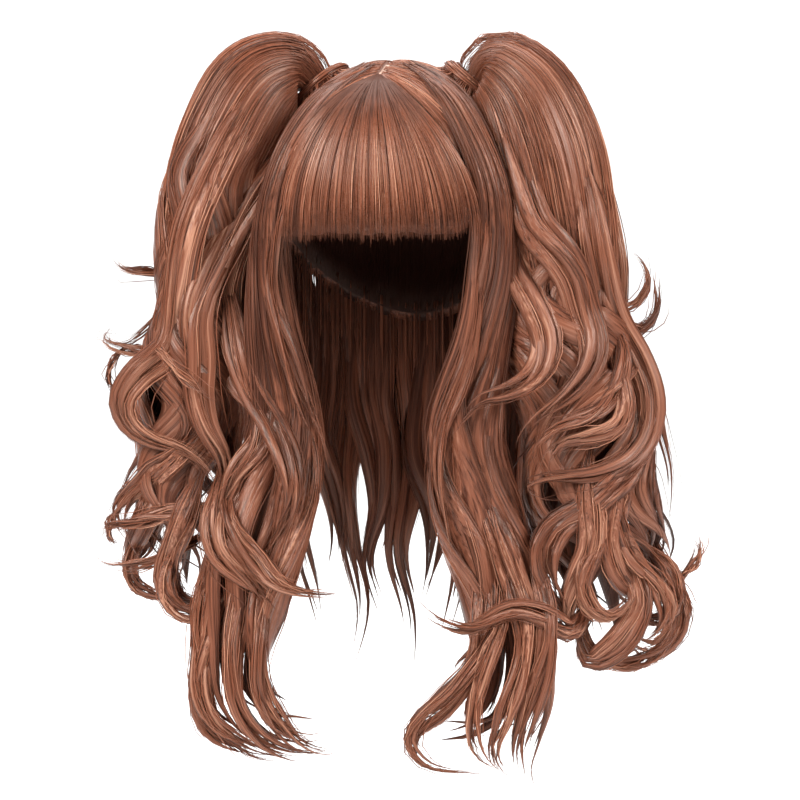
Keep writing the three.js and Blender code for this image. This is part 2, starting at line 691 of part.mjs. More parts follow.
// The fringe fans out from the whorl and is cut straight above the eyes
const FRINGE_PATH_POINTS = 6;
const FRINGE_STEPS = 7;
const FRINGE_CLEARANCE = 0.9; // its flat locks lie on a rounded head
const FRINGE_TIP_SHARE = 0.5; // how thick it is at its cut edge
const FRINGE_ROOT_SHARE = 0.3; // how wide a lock is at the whorl
const FRINGE_SWELL_END = 0.625; // how far along a lock has its full width
const FRINGE_FAN = 0.8; // below 1, the locks spread early
const FRINGE_ROUND = 0.05; // keeps the outer locks' paths in front of the ears
function fringe(grow = 0) {
  const whorl = onCrown(0, -PARTING_FRONT);
  const halfThickness = (t) =>
    (FRINGE_THICKNESS / 2) * THREE.MathUtils.lerp(1, FRINGE_TIP_SHARE, t);
  const locks = FRINGE_LOCKS.map(({ across, drop }) => {
    const points = [];
    for (let i = 0; i < FRINGE_PATH_POINTS; i++) {
      const t = i / (FRINGE_PATH_POINTS - 1);
      const lift = CROWN_WALL + FRINGE_CLEARANCE + halfThickness(t);
      const x = across * FRINGE_HALF_WIDTH * Math.sin((Math.PI / 2) * t ** FRINGE_FAN);
      const z = THREE.MathUtils.lerp(whorl.z, -drop * FRINGE_DROP, t);
      const level = Math.max(z + HEAD_RISE, 0) / (HEAD_RISE + lift);
      const wide = x / (HEAD_WIDTH / 2 + lift);
      const round = Math.sqrt(Math.max(FRINGE_ROUND, 1 - wide ** 2 - level ** 2));
      points.push(new THREE.Vector3(x, -(HEAD_LENGTH / 2 + lift) * round, z));
    }
    const curve = new THREE.CatmullRomCurve3(points);
    const swell = (t) =>
      THREE.MathUtils.lerp(FRINGE_ROOT_SHARE, 1, Math.min(1, t / FRINGE_SWELL_END));
    const size = (t) => [FRINGE_LOCK_HALF_WIDTH * swell(t), halfThickness(t)];
    return sweep(curve, size, outwards, LOCK_SIDES, FRINGE_STEPS, grow);
  });
  return join(locks);
}

const matter = (color, roughness) =>
  new THREE.MeshStandardMaterial({ color, roughness, metalness: 0 });
const HAIR = matter(0x9c6550, 0.4);
const TIE = matter(0x764335, 0.5);
const PARTING_SKIN = matter(0xc08a70, 0.7);

const wig = new THREE.Group();

function add(name, made, material) {
  const { vertProperties, triVerts } = made.getMesh();
  const geometry = new THREE.BufferGeometry()
    .setAttribute("position", new THREE.BufferAttribute(vertProperties, 3))
    .setIndex(new THREE.BufferAttribute(triVerts, 1));
  geometry.computeVertexNormals();
  const mesh = new THREE.Mesh(geometry, material);
  mesh.name = name;
  wig.add(mesh);
}

const overHead = headForm(CROWN_WALL + GAP);
const ties = tieBand(-1, GAP).add(tieBand(1, GAP));
const tails = {
  right: [-1, RIGHT_PIGTAIL_BODY, RIGHT_PIGTAIL_LOCKS],
  left: [1, LEFT_PIGTAIL_BODY, LEFT_PIGTAIL_LOCKS],
};
const sides = {
  right: [RIGHT_HAIR_BODY, RIGHT_HAIR_LOCKS],
  left: [LEFT_HAIR_BODY, LEFT_HAIR_LOCKS],
};

add("crown", crown(), HAIR);
add("parting_strip", partingStrip(), PARTING_SKIN);
add("fringe", fringe(), HAIR);
let taken = overHead.add(fringe(LOCK_GAP)).add(ties);

for (const [word, [side, body, locks]] of Object.entries(tails)) {
  add(word + "_tie", largest(tieBand(side).subtract(overHead)), TIE);
  const hanging = pigtail(side, body, locks).subtract(taken);
  add(word + "_pigtail", largest(hanging), HAIR);
}
for (const tail of Object.values(tails)) {
  taken = taken.add(pigtail(...tail, LOCK_GAP));
}
for (const [word, [body, locks]] of Object.entries(sides)) {
  add(word + "_side_hair", largest(sideHair(body, locks).subtract(taken)), HAIR);
}
for (const side of Object.values(sides)) {
  taken = taken.add(sideHair(...side, LOCK_GAP));
}
add("back_hair", largest(backHair().subtract(taken)), HAIR);

export default wig;
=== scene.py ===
import math
from collections import namedtuple

import bmesh
import bpy
import numpy as np
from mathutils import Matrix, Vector


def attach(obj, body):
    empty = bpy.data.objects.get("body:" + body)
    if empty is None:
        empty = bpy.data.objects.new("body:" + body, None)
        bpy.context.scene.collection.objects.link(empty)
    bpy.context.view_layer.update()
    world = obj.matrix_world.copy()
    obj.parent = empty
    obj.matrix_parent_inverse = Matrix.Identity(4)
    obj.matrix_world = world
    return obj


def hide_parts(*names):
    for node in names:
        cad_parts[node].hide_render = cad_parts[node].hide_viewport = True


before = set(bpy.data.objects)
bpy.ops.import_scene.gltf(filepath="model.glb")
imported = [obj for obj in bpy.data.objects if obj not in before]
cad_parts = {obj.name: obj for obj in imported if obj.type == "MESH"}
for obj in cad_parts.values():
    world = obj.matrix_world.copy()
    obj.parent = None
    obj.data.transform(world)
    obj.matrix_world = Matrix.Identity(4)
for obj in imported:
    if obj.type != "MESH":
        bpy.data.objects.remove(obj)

bl_info = {
    "name": "Pigtail wig",
    "version": (1, 0, 0),
    "blender": (4, 5, 0),
    "location": "3D View > Sidebar > Wig",
    "description": "Builds a long wavy wig with a straight fringe and two high pigtails",
    "category": "Add Mesh",
}

# Metres, +Z up, the face towards -Y, the wearer's left towards +X. The origin
# is the inside top of the crown, where the wig sits on the head.

BODY_POINTS = 64  # points along a head of hair's body
LOCK_POINTS = 60  # points along a lock
CURL_POINTS = 56
LOCK_SIDES = 7
BODY_SIDES = 72
LOCK_STEP = 0.0065  # from row to row of a lock's mesh
STRAND_STEP = 0.0108  # from point to point of a strand
CURL_HALF_WIDTH = 0.0105
RIBBON_THICKNESS = 0.0014
PARTS_BEHIND = 6  # narrow locks in each lock that lies behind
WISP = 0.006  # a lock with less half width is a wisp
WISP_PARTS = 3
NAPE_STRANDS = 240
GATHERED_STRANDS = 150
TIE_STRANDS = 60
PATH_POINTS = 17  # points of a smooth line from one row of a path to the next
LYING_POINTS = 14  # points along a strand on the crown or the fringe
NAPE_POINTS = 8
GATHERED_POINTS = 9
TIE_POINTS = 26
CROWN_COLUMNS = 160
FRINGE_GRID = (60, 20)
TIE_GRID = (12, 40)
UNDER_DEPTH = 0.004  # how much deeper the second layer at the back lies

# The paper under the wig and up behind it
PAPER_WIDTH, PAPER_LENGTH = 24, 16
PAPER_FRONT = 5  # from the origin to its front edge
PAPER_BACK = 4  # from the origin to where it bends up
PAPER_BEND = 1.2  # radius of that bend

# Each light's name, place in the view, size and the point that it is aimed at
LIGHTS = (
    ("key", (-1.25, -1.3, 0.95), 0.9, (0, 0, -0.2)),
    ("fill", (1.4, -1.2, 0.9), 0.85, (0, 0, -0.2)),
    ("wall", (0.0, 1.4, 2.6), 3.5, (0.0, 4.2, -0.3)),
)

# Each row of a path is one point: across, down and front, as shares of the
# spread, the fall and the depth that the hair follows. A body's row also has
# its half width and half depth there, as shares of the spread and the depth.
# across grows outwards from the tie, and in the long hair to the view's right.
# A lock's half width and half thickness are shares of the spread.
Lock = namedtuple("Lock", "wide thick path")

RIGHT_PIGTAIL_BODY = [
    (0, 0.01, 0, 0.07, 0.2),
    (0.12, -0.03, 0.05, 0.14, 0.4),
    (0.27, -0.005, 0.15, 0.21, 0.54),
    (0.4, 0.09, 0.25, 0.23, 0.62),
    (0.51, 0.2, 0.28, 0.2, 0.6),
    (0.58, 0.295, 0.3, 0.15, 0.5),
    (0.56, 0.38, 0.32, 0.15, 0.5),
    (0.58, 0.475, 0.38, 0.2, 0.55),
    (0.58, 0.575, 0.42, 0.23, 0.55),
    (0.6, 0.67, 0.45, 0.22, 0.55),
    (0.61, 0.76, 0.45, 0.18, 0.45),
    (0.6, 0.83, 0.45, 0.08, 0.2),
]

LEFT_PIGTAIL_BODY = [
    (0, 0.01, 0, 0.07, 0.2),
    (0.1, -0.025, 0.05, 0.16, 0.42),
    (0.2, 0.015, 0.15, 0.235, 0.58),
    (0.28, 0.11, 0.25, 0.29, 0.66),
    (0.33, 0.21, 0.28, 0.29, 0.68),
    (0.37, 0.29, 0.3, 0.27, 0.64),
    (0.4, 0.38, 0.32, 0.24, 0.6),
    (0.45, 0.475, 0.4, 0.26, 0.6),
    (0.51, 0.57, 0.45, 0.28, 0.62),
    (0.53, 0.67, 0.5, 0.27, 0.6),
    (0.58, 0.765, 0.5, 0.23, 0.5),
    (0.62, 0.85, 0.5, 0.17, 0.4),
    (0.64, 0.91, 0.5, 0.08, 0.2),
]

RIGHT_PIGTAIL_LOCKS = [
    Lock(0.08, 0.045, [
        (0.1, -0.03, 0), (0.25, -0.035, 0), (0.45, 0, 0), (0.61, 0.105, 0), (0.68, 0.22, 0.05),
        (0.67, 0.33, 0.15), (0.76, 0.4, 0.25), (0.89, 0.435, 0.3), (0.97, 0.42, 0.3), (0.95, 0.405, 0.3),
    ]),
    Lock(0.03, 0.02, [
        (0.58, 0.28, 0.2), (0.7, 0.31, 0.15), (0.8, 0.312, 0.15), (0.9, 0.3, 0.15), (0.955, 0.27, 0.15),
    ]),
    Lock(0.12, 0.05, [
        (0.06, 0, 0.25), (0.18, 0, 0.45), (0.33, 0.055, 0.6), (0.46, 0.155, 0.65), (0.565, 0.25, 0.65),
        (0.62, 0.345, 0.7), (0.66, 0.435, 0.85), (0.78, 0.476, 1), (0.85, 0.52, 1), (0.82, 0.56, 1),
        (0.72, 0.585, 1.05), (0.6, 0.6, 1.1), (0.48, 0.64, 1.1), (0.43, 0.7, 1.05),
    ]),
    Lock(0.12, 0.045, [
        (0.08, 0.035, 0.4), (0.18, 0.12, 0.65), (0.32, 0.2, 0.75), (0.45, 0.29, 0.8), (0.53, 0.38, 0.8),
        (0.525, 0.455, 0.85), (0.53, 0.51, 0.9), (0.5, 0.565, 0.95), (0.43, 0.615, 1), (0.42, 0.67, 1.05),
        (0.46, 0.72, 1.05), (0.48, 0.76, 1.05),
    ]),
    Lock(0.09, 0.045, [
        (0.13, 0.07, 0.3), (0.27, 0.185, 0.5), (0.4, 0.29, 0.6), (0.42, 0.385, 0.65), (0.38, 0.44, 0.7),
        (0.37, 0.49, 0.75), (0.28, 0.525, 0.9), (0.22, 0.555, 0.95), (0.29, 0.6, 1), (0.38, 0.645, 1),
        (0.4, 0.69, 1),
    ]),
    Lock(0.075, 0.04, [
        (0.5, 0.57, 0.5), (0.68, 0.63, 0.6), (0.785, 0.656, 0.65), (0.86, 0.69, 0.65), (0.9, 0.72, 0.6),
        (0.82, 0.745, 0.55),
    ]),
    Lock(0.085, 0.045, [
        (0.5, 0.62, 0.7), (0.59, 0.71, 0.95), (0.65, 0.765, 1), (0.66, 0.81, 1.05), (0.62, 0.845, 1.05),
        (0.55, 0.855, 1.05), (0.46, 0.84, 1.05), (0.39, 0.8, 1),
    ]),
    Lock(0.085, 0.045, [
        (0.6, 0.58, 0.3), (0.76, 0.7, 0.4), (0.83, 0.77, 0.45), (0.83, 0.815, 0.45), (0.77, 0.845, 0.5),
        (0.67, 0.85, 0.55),
    ]),
    Lock(0.07, 0.035, [
        (0.4, 0.57, 0.85), (0.42, 0.66, 1.1), (0.45, 0.71, 1.3), (0.42, 0.755, 1.45), (0.33, 0.79, 1.6),
        (0.24, 0.82, 1.7), (0.15, 0.865, 1.75),
    ]),
    Lock(0.055, 0.03, [
        (0.41, 0.62, 1.1), (0.39, 0.7, 1.4), (0.29, 0.76, 1.65), (0.17, 0.8, 1.8), (0.06, 0.816, 1.85),
        (-0.09, 0.83, 1.85),
    ]),
    Lock(0.03, 0.02, [
        (0.66, 0.68, 0.4), (0.78, 0.77, 0.35), (0.87, 0.796, 0.35), (0.98, 0.775, 0.35),
    ]),
    Lock(0.11, 0.05, [
        (0.14, 0, -0.35), (0.36, 0.06, -0.55), (0.52, 0.2, -0.5), (0.5, 0.34, -0.35), (0.58, 0.47, -0.25),
        (0.5, 0.58, -0.2), (0.6, 0.69, -0.15), (0.52, 0.78, -0.1), (0.56, 0.86, 0),
    ]),
    Lock(0.1, 0.05, [
        (0.2, -0.02, -0.35), (0.43, 0.02, -0.4), (0.58, 0.12, -0.4), (0.64, 0.22, -0.35),
        (0.62, 0.33, -0.2), (0.6, 0.42, -0.1), (0.7, 0.5, -0.05), (0.74, 0.585, 0), (0.68, 0.66, 0),
        (0.75, 0.74, 0.05), (0.69, 0.82, 0.1),
    ]),
    # Over the long hair, then wisps and ringlets
    Lock(0.06, 0.04, [
        (0.483, 0.282, 0.65), (0.426, 0.38, 0.8), (0.374, 0.445, 0.95), (0.304, 0.502, 1.05),
        (0.243, 0.545, 1.15), (0.265, 0.591, 1.25), (0.343, 0.628, 1.3), (0.404, 0.677, 1.3),
        (0.452, 0.721, 1.25), (0.483, 0.769, 1.2),
    ]),
    Lock(0.085, 0.045, [
        (0.42, 0.3, 0.6), (0.391, 0.364, 0.85), (0.348, 0.437, 1), (0.278, 0.502, 1.15),
        (0.191, 0.558, 1.3), (0.135, 0.615, 1.45), (0.117, 0.667, 1.55), (0.157, 0.716, 1.55),
        (0.235, 0.761, 1.5), (0.278, 0.786, 1.45),
    ]),
    Lock(0.036, 0.02, [
        (0.487, 0.38, 0.8), (0.57, 0.407, 0.75), (0.691, 0.43, 0.6), (0.804, 0.443, 0.45),
        (0.917, 0.433, 0.4), (0.972, 0.42, 0.35), (0.95, 0.408, 0.35), (0.887, 0.42, 0.35),
    ]),
    Lock(0.02, 0.014, [
        (0.74, 0.42, 0.9), (0.7, 0.437, 1.1), (0.626, 0.464, 1.2), (0.522, 0.502, 1.3), (0.409, 0.526, 1.4),
    ]),
    Lock(0.012, 0.01, [
        (0.8, 0.43, 0.3), (0.874, 0.437, 0.3), (0.913, 0.45, 0.3), (0.948, 0.476, 0.3), (0.939, 0.505, 0.3),
        (0.887, 0.526, 0.3),
    ]),
    Lock(0.012, 0.01, [
        (0.88, 0.7, 0.6), (0.925, 0.715, 0.6), (0.935, 0.745, 0.6), (0.878, 0.763, 0.6),
    ]),
    Lock(0.042, 0.026, [
        (0.417, 0.688, 0.7), (0.509, 0.698, 0.85), (0.613, 0.701, 0.95), (0.713, 0.709, 1),
        (0.83, 0.719, 1), (0.917, 0.724, 1), (0.93, 0.737, 1), (0.878, 0.744, 1),
    ]),
    Lock(0.03, 0.018, [
        (0.439, 0.721, 0.7), (0.557, 0.752, 0.85), (0.657, 0.769, 0.9), (0.765, 0.786, 0.9),
        (0.896, 0.795, 0.85), (0.97, 0.782, 0.8), (0.99, 0.769, 0.8),
    ]),
    Lock(0.052, 0.03, [
        (0.548, 0.737, 0.9), (0.622, 0.769, 1.1), (0.661, 0.81, 1.2), (0.63, 0.846, 1.25),
        (0.548, 0.862, 1.3), (0.443, 0.846, 1.35), (0.374, 0.813, 1.35), (0.352, 0.781, 1.35),
        (0.387, 0.761, 1.3),
    ]),
    Lock(0.036, 0.02, [
        (0.765, 0.72, 0.5), (0.83, 0.769, 0.6), (0.848, 0.802, 0.65), (0.809, 0.831, 0.7),
        (0.722, 0.847, 0.75), (0.626, 0.841, 0.8), (0.591, 0.818, 0.8),
    ]),
]

LEFT_PIGTAIL_LOCKS = [
    Lock(0.07, 0.04, [
        (0.1, -0.03, 0), (0.22, -0.035, 0), (0.385, 0.01, 0), (0.53, 0.106, 0), (0.6, 0.22, 0.1),
        (0.635, 0.315, 0.15), (0.64, 0.38, 0.2), (0.69, 0.444, 0.3), (0.78, 0.5, 0.4), (0.835, 0.582, 0.45),
        (0.86, 0.64, 0.5), (0.84, 0.72, 0.5), (0.8, 0.77, 0.5),
    ]),
    Lock(0.12, 0.05, [
        (0.03, 0.01, 0.3), (0.12, 0.08, 0.65), (0.2, 0.17, 0.8), (0.26, 0.243, 0.85), (0.37, 0.288, 0.9),
        (0.44, 0.325, 0.9), (0.48, 0.375, 0.95), (0.515, 0.421, 1), (0.49, 0.465, 1.05), (0.4, 0.505, 1.15),
        (0.275, 0.542, 1.25), (0.2, 0.58, 1.25), (0.2, 0.615, 1.2),
    ]),
    Lock(0.105, 0.045, [
        (0.02, 0.04, 0.4), (0.05, 0.13, 0.7), (0.1, 0.2, 0.8), (0.15, 0.26, 0.85), (0.2, 0.315, 0.9),
        (0.265, 0.37, 0.95), (0.305, 0.42, 1), (0.29, 0.46, 1.1), (0.23, 0.49, 1.2), (0.125, 0.51, 1.3),
        (0.03, 0.52, 1.35), (-0.05, 0.555, 1.4), (-0.12, 0.59, 1.45),
    ]),
    Lock(0.11, 0.045, [
        (0.38, 0.05, 0.3), (0.48, 0.17, 0.5), (0.54, 0.29, 0.6), (0.6, 0.39, 0.65), (0.7, 0.46, 0.7),
        (0.755, 0.52, 0.75), (0.74, 0.575, 0.85), (0.65, 0.615, 0.95), (0.5, 0.637, 1.1),
        (0.31, 0.642, 1.2), (0.21, 0.655, 1.2), (0.3, 0.678, 1.1), (0.43, 0.672, 0.95),
    ]),
    Lock(0.1, 0.045, [
        (0.7, 0.54, 0.6), (0.7, 0.61, 0.75), (0.6, 0.655, 0.9), (0.48, 0.69, 1), (0.36, 0.72, 1.1),
        (0.3, 0.76, 1.15), (0.32, 0.81, 1.15), (0.4, 0.86, 1.15), (0.44, 0.9, 1.1),
    ]),
    Lock(0.09, 0.045, [
        (0.55, 0.62, 0.7), (0.6, 0.73, 0.95), (0.67, 0.79, 1.05), (0.71, 0.84, 1.1), (0.66, 0.88, 1.15),
        (0.57, 0.92, 1.15), (0.49, 0.935, 1.15), (0.45, 0.9, 1.1), (0.47, 0.85, 1),
    ]),
    Lock(0.09, 0.045, [
        (0.66, 0.58, 0.5), (0.62, 0.68, 0.75), (0.59, 0.74, 0.9), (0.65, 0.795, 0.9), (0.76, 0.82, 0.85),
        (0.87, 0.82, 0.8), (0.945, 0.79, 0.75), (0.98, 0.755, 0.7), (0.96, 0.735, 0.65),
    ]),
    Lock(0.08, 0.045, [
        (0.66, 0.68, 0.3), (0.82, 0.79, 0.35), (0.9, 0.85, 0.4), (0.89, 0.895, 0.45), (0.8, 0.93, 0.5),
        (0.72, 0.92, 0.6), (0.65, 0.89, 0.7),
    ]),
    Lock(0.055, 0.035, [
        (0.46, 0.76, 0.8), (0.49, 0.85, 1.05), (0.42, 0.885, 1.2), (0.3, 0.86, 1.35), (0.15, 0.85, 1.45),
        (-0.02, 0.872, 1.55), (-0.17, 0.855, 1.6), (-0.28, 0.82, 1.6),
    ]),
    Lock(0.06, 0.03, [
        (0.62, 0.4, 0.5), (0.68, 0.455, 0.7), (0.57, 0.495, 0.9), (0.45, 0.53, 1.1), (0.37, 0.57, 1.2),
        (0.32, 0.61, 1.25), (0.32, 0.64, 1.25),
    ]),
    Lock(0.035, 0.022, [
        (0.58, 0.36, 0.3), (0.69, 0.398, 0.25), (0.75, 0.405, 0.25), (0.81, 0.385, 0.25),
        (0.82, 0.345, 0.25), (0.8, 0.3, 0.25),
    ]),
    Lock(0.12, 0.05, [
        (0.22, 0, -0.2), (0.35, 0.07, -0.5), (0.47, 0.18, -0.55), (0.5, 0.31, -0.5), (0.54, 0.43, -0.4),
        (0.6, 0.55, -0.35), (0.52, 0.67, -0.3), (0.64, 0.79, -0.25), (0.58, 0.9, -0.15),
    ]),
    # Nested arcs, then wisps and ringlets
    Lock(0.06, 0.035, [
        (0.58, 0.4, 0.8), (0.631, 0.479, 1.05), (0.644, 0.518, 1.1), (0.605, 0.555, 1.15),
        (0.481, 0.574, 1.25), (0.365, 0.588, 1.35), (0.3, 0.62, 1.4), (0.31, 0.65, 1.4),
    ]),
    Lock(0.05, 0.03, [
        (0.6, 0.38, 0.8), (0.65, 0.444, 1), (0.62, 0.492, 1.1), (0.528, 0.532, 1.2), (0.416, 0.55, 1.3),
        (0.318, 0.57, 1.4), (0.253, 0.605, 1.4), (0.262, 0.633, 1.4),
    ]),
    Lock(0.075, 0.04, [
        (0.5, 0.58, 0.9), (0.48, 0.653, 1.1), (0.506, 0.754, 1.15), (0.442, 0.8, 1.15), (0.39, 0.846, 1.15),
        (0.42, 0.905, 1.1), (0.52, 0.93, 1.1),
    ]),
    Lock(0.06, 0.035, [
        (0.6, 0.66, 0.8), (0.631, 0.735, 1), (0.7, 0.78, 1.05), (0.8, 0.82, 1.05), (0.83, 0.86, 1.05),
        (0.77, 0.9, 1.05), (0.66, 0.92, 1.05),
    ]),
    Lock(0.028, 0.018, [
        (0.56, 0.34, 0.4), (0.605, 0.363, 0.35), (0.657, 0.371, 0.3), (0.73, 0.362, 0.3),
        (0.781, 0.33, 0.3), (0.742, 0.296, 0.3), (0.682, 0.277, 0.3),
    ]),
    Lock(0.012, 0.01, [
        (0.85, 0.79, 0.6), (0.918, 0.82, 0.6), (0.944, 0.862, 0.6), (0.91, 0.905, 0.6),
    ]),
    Lock(0.012, 0.01, [
        (0.833, 0.81, 0.8), (0.931, 0.796, 0.8), (0.985, 0.764, 0.8), (0.96, 0.735, 0.8),
    ]),
    Lock(0.05, 0.03, [
        (0.67, 0.685, 1), (0.588, 0.72, 1.15), (0.511, 0.757, 1.2), (0.468, 0.797, 1.25),
        (0.485, 0.841, 1.25), (0.562, 0.863, 1.2), (0.648, 0.846, 1.2), (0.691, 0.809, 1.2),
        (0.657, 0.775, 1.2),
    ]),
    Lock(0.042, 0.026, [
        (0.734, 0.749, 0.8), (0.837, 0.781, 0.9), (0.888, 0.822, 0.9), (0.854, 0.859, 0.9),
        (0.768, 0.873, 0.95), (0.708, 0.849, 0.95), (0.725, 0.817, 0.9),
    ]),
    Lock(0.042, 0.026, [
        (0.519, 0.83, 0.9), (0.468, 0.881, 1), (0.528, 0.926, 1), (0.639, 0.945, 1), (0.76, 0.929, 1),
        (0.854, 0.894, 1), (0.888, 0.859, 0.9),
    ]),
]

# Locks painted dark as shade, that fill the gaps between a pigtail and the long hair
RIGHT_PIGTAIL_BEHIND = [
    Lock(0.12, 0.04, [
        (0.33, 0.19, -0.1), (0.374, 0.3, -0.1), (0.391, 0.396, -0.1), (0.383, 0.494, 0), (0.348, 0.6, 0.1),
        (0.4, 0.7, 0.2),
    ]),
]

LEFT_PIGTAIL_BEHIND = [
    Lock(0.12, 0.04, [
        (0.1, 0.19, -0.1), (0.133, 0.315, -0.1), (0.155, 0.428, 0), (0.167, 0.524, 0.1),
        (0.155, 0.637, 0.2), (0.2, 0.74, 0.3),
    ]),
    Lock(0.15, 0.05, [
        (0.42, 0.5, 0.4), (0.37, 0.6, 0.5), (0.35, 0.69, 0.6), (0.4, 0.78, 0.7), (0.47, 0.87, 0.7),
    ]),
]

RIGHT_HAIR_BODY = [
    (-0.1, 0.01, 0.3, 0.05, 0.03),
    (-0.28, 0.045, 0.46, 0.07, 0.04),
    (-0.4, 0.11, 0.56, 0.07, 0.05),
    (-0.5, 0.19, 0.58, 0.075, 0.06),
    (-0.55, 0.265, 0.56, 0.085, 0.07),
    (-0.54, 0.355, 0.56, 0.105, 0.08),
    (-0.5, 0.445, 0.56, 0.135, 0.09),
    (-0.49, 0.525, 0.58, 0.15, 0.1),
    (-0.55, 0.61, 0.64, 0.16, 0.1),
    (-0.65, 0.69, 0.7, 0.16, 0.1),
    (-0.7, 0.77, 0.76, 0.155, 0.1),
    (-0.68, 0.84, 0.82, 0.135, 0.08),
    (-0.56, 0.885, 0.86, 0.085, 0.06),
    (-0.38, 0.9, 0.9, 0.03, 0.02),
]

LEFT_HAIR_BODY = [
    (0.04, 0.01, 0.3, 0.05, 0.03),
    (0.18, 0.035, 0.46, 0.08, 0.04),
    (0.27, 0.1, 0.6, 0.08, 0.05),
    (0.33, 0.18, 0.6, 0.085, 0.06),
    (0.37, 0.26, 0.58, 0.095, 0.07),
    (0.38, 0.355, 0.58, 0.11, 0.08),
    (0.32, 0.445, 0.58, 0.13, 0.09),
    (0.3, 0.525, 0.6, 0.14, 0.1),
    (0.35, 0.61, 0.64, 0.15, 0.1),
    (0.45, 0.69, 0.7, 0.16, 0.1),
    (0.52, 0.77, 0.76, 0.165, 0.1),
    (0.48, 0.84, 0.82, 0.145, 0.08),
    (0.35, 0.885, 0.86, 0.09, 0.06),
    (0.17, 0.895, 0.9, 0.03, 0.02),
]

RIGHT_HAIR_LOCKS = [
    Lock(0.07, 0.035, [
        (-0.38, 0.1, 0.66), (-0.5, 0.2, 0.68), (-0.54, 0.29, 0.66), (-0.47, 0.367, 0.66),
        (-0.4, 0.44, 0.68), (-0.315, 0.507, 0.7), (-0.27, 0.545, 0.72),
    ]),
    Lock(0.075, 0.045, [
        (-0.42, 0.44, 0.6), (-0.36, 0.52, 0.68), (-0.38, 0.58, 0.74), (-0.46, 0.65, 0.78),
        (-0.55, 0.72, 0.84), (-0.58, 0.79, 0.9), (-0.53, 0.86, 0.95), (-0.38, 0.888, 0.98),
        (-0.24, 0.88, 1),
    ]),
    Lock(0.07, 0.04, [
        (-0.66, 0.67, 0.75), (-0.78, 0.76, 0.8), (-0.82, 0.83, 0.82), (-0.78, 0.88, 0.84),
        (-0.66, 0.905, 0.88), (-0.48, 0.92, 0.9),
    ]),
    # Nested arcs at the tips
    Lock(0.06, 0.035, [
        (-0.5, 0.6, 0.74), (-0.57, 0.71, 0.84), (-0.58, 0.78, 0.92), (-0.56, 0.832, 0.96),
        (-0.48, 0.874, 0.98), (-0.38, 0.9, 1), (-0.28, 0.905, 1), (-0.21, 0.89, 1),
    ]),
    Lock(0.07, 0.035, [
        (-0.62, 0.62, 0.72), (-0.675, 0.725, 0.84), (-0.69, 0.79, 0.9), (-0.66, 0.85, 0.94),
        (-0.565, 0.893, 0.96), (-0.43, 0.912, 0.98), (-0.31, 0.909, 0.98), (-0.24, 0.893, 0.98),
    ]),
    Lock(0.05, 0.03, [
        (-0.72, 0.62, 0.68), (-0.83, 0.71, 0.78), (-0.84, 0.78, 0.82), (-0.82, 0.835, 0.86),
        (-0.75, 0.875, 0.88), (-0.62, 0.9, 0.9), (-0.49, 0.913, 0.92), (-0.37, 0.91, 0.94),
    ]),
]

LEFT_HAIR_LOCKS = [
    Lock(0.07, 0.035, [
        (0.24, 0.1, 0.7), (0.3, 0.2, 0.72), (0.32, 0.29, 0.7), (0.3, 0.37, 0.68), (0.24, 0.43, 0.69),
        (0.19, 0.48, 0.72), (0.18, 0.54, 0.76), (0.22, 0.61, 0.78), (0.27, 0.68, 0.79),
    ]),
    Lock(0.08, 0.045, [
        (0.34, 0.48, 0.6), (0.4, 0.58, 0.7), (0.5, 0.67, 0.8), (0.58, 0.75, 0.86), (0.62, 0.83, 0.88),
        (0.58, 0.9, 0.86), (0.56, 0.94, 0.84), (0.59, 0.965, 0.84),
    ]),
    Lock(0.075, 0.045, [
        (0.36, 0.62, 0.7), (0.38, 0.72, 0.82), (0.33, 0.8, 0.88), (0.2, 0.85, 0.94), (0.07, 0.88, 0.97),
        (0.08, 0.92, 0.96), (0.2, 0.935, 0.95),
    ]),
    # Nested arcs at the tips
    Lock(0.07, 0.04, [
        (0.56, 0.62, 0.76), (0.634, 0.725, 0.86), (0.613, 0.792, 0.92), (0.549, 0.858, 0.94),
        (0.515, 0.911, 0.92), (0.545, 0.948, 0.88), (0.6, 0.965, 0.86),
    ]),
    Lock(0.07, 0.035, [
        (0.44, 0.63, 0.78), (0.528, 0.725, 0.9), (0.528, 0.792, 0.96), (0.464, 0.858, 0.98),
        (0.409, 0.905, 0.96), (0.443, 0.935, 0.94), (0.54, 0.951, 0.92),
    ]),
    Lock(0.05, 0.03, [
        (0.45, 0.66, 0.8), (0.443, 0.739, 0.92), (0.349, 0.805, 0.98), (0.315, 0.865, 1), (0.357, 0.911, 1),
        (0.47, 0.938, 0.98),
    ]),
    Lock(0.036, 0.02, [
        (0.42, 0.7, 0.84), (0.4, 0.752, 0.94), (0.251, 0.818, 1), (0.111, 0.858, 1.02), (0.06, 0.891, 1),
        (0.136, 0.924, 1), (0.294, 0.935, 1), (0.464, 0.938, 0.98),
    ]),
]

# One row for each lock down the back: how far round it leaves the crown, as a
# share of the back's turn, how far down it leaves it, as a share of a quarter
# turn from the top, its fall as a share of the back's fall, and the phase of
# its wave in whole waves.
BackLock = namedtuple("BackLock", "round root fall phase")
BACK_LOCKS = [
    BackLock(-1.0, 0.8, 0.8, 0.55),
    BackLock(-0.72, 0.52, 0.9, 0.1),
    BackLock(-0.43, 0.3, 0.97, 0.45),
    BackLock(-0.14, 0.27, 1.0, 0.2),
    BackLock(0.14, 0.27, 0.98, 0.6),
    BackLock(0.43, 0.3, 1.0, 0.3),
    BackLock(0.72, 0.52, 0.91, 0.75),
    BackLock(1.0, 0.8, 0.82, 0.0),
]


def length(name, description, default):
    """A setting that is a length in metres."""
    return bpy.props.FloatProperty(
        name=name, description=description, default=default, min=0.0, unit="LENGTH", precision=4
    )


def share(name, description, default, most=1.0):
    """A setting that is a share or a plain factor."""
    return bpy.props.FloatProperty(
        name=name, description=description, default=default, min=0.0, max=most
    )


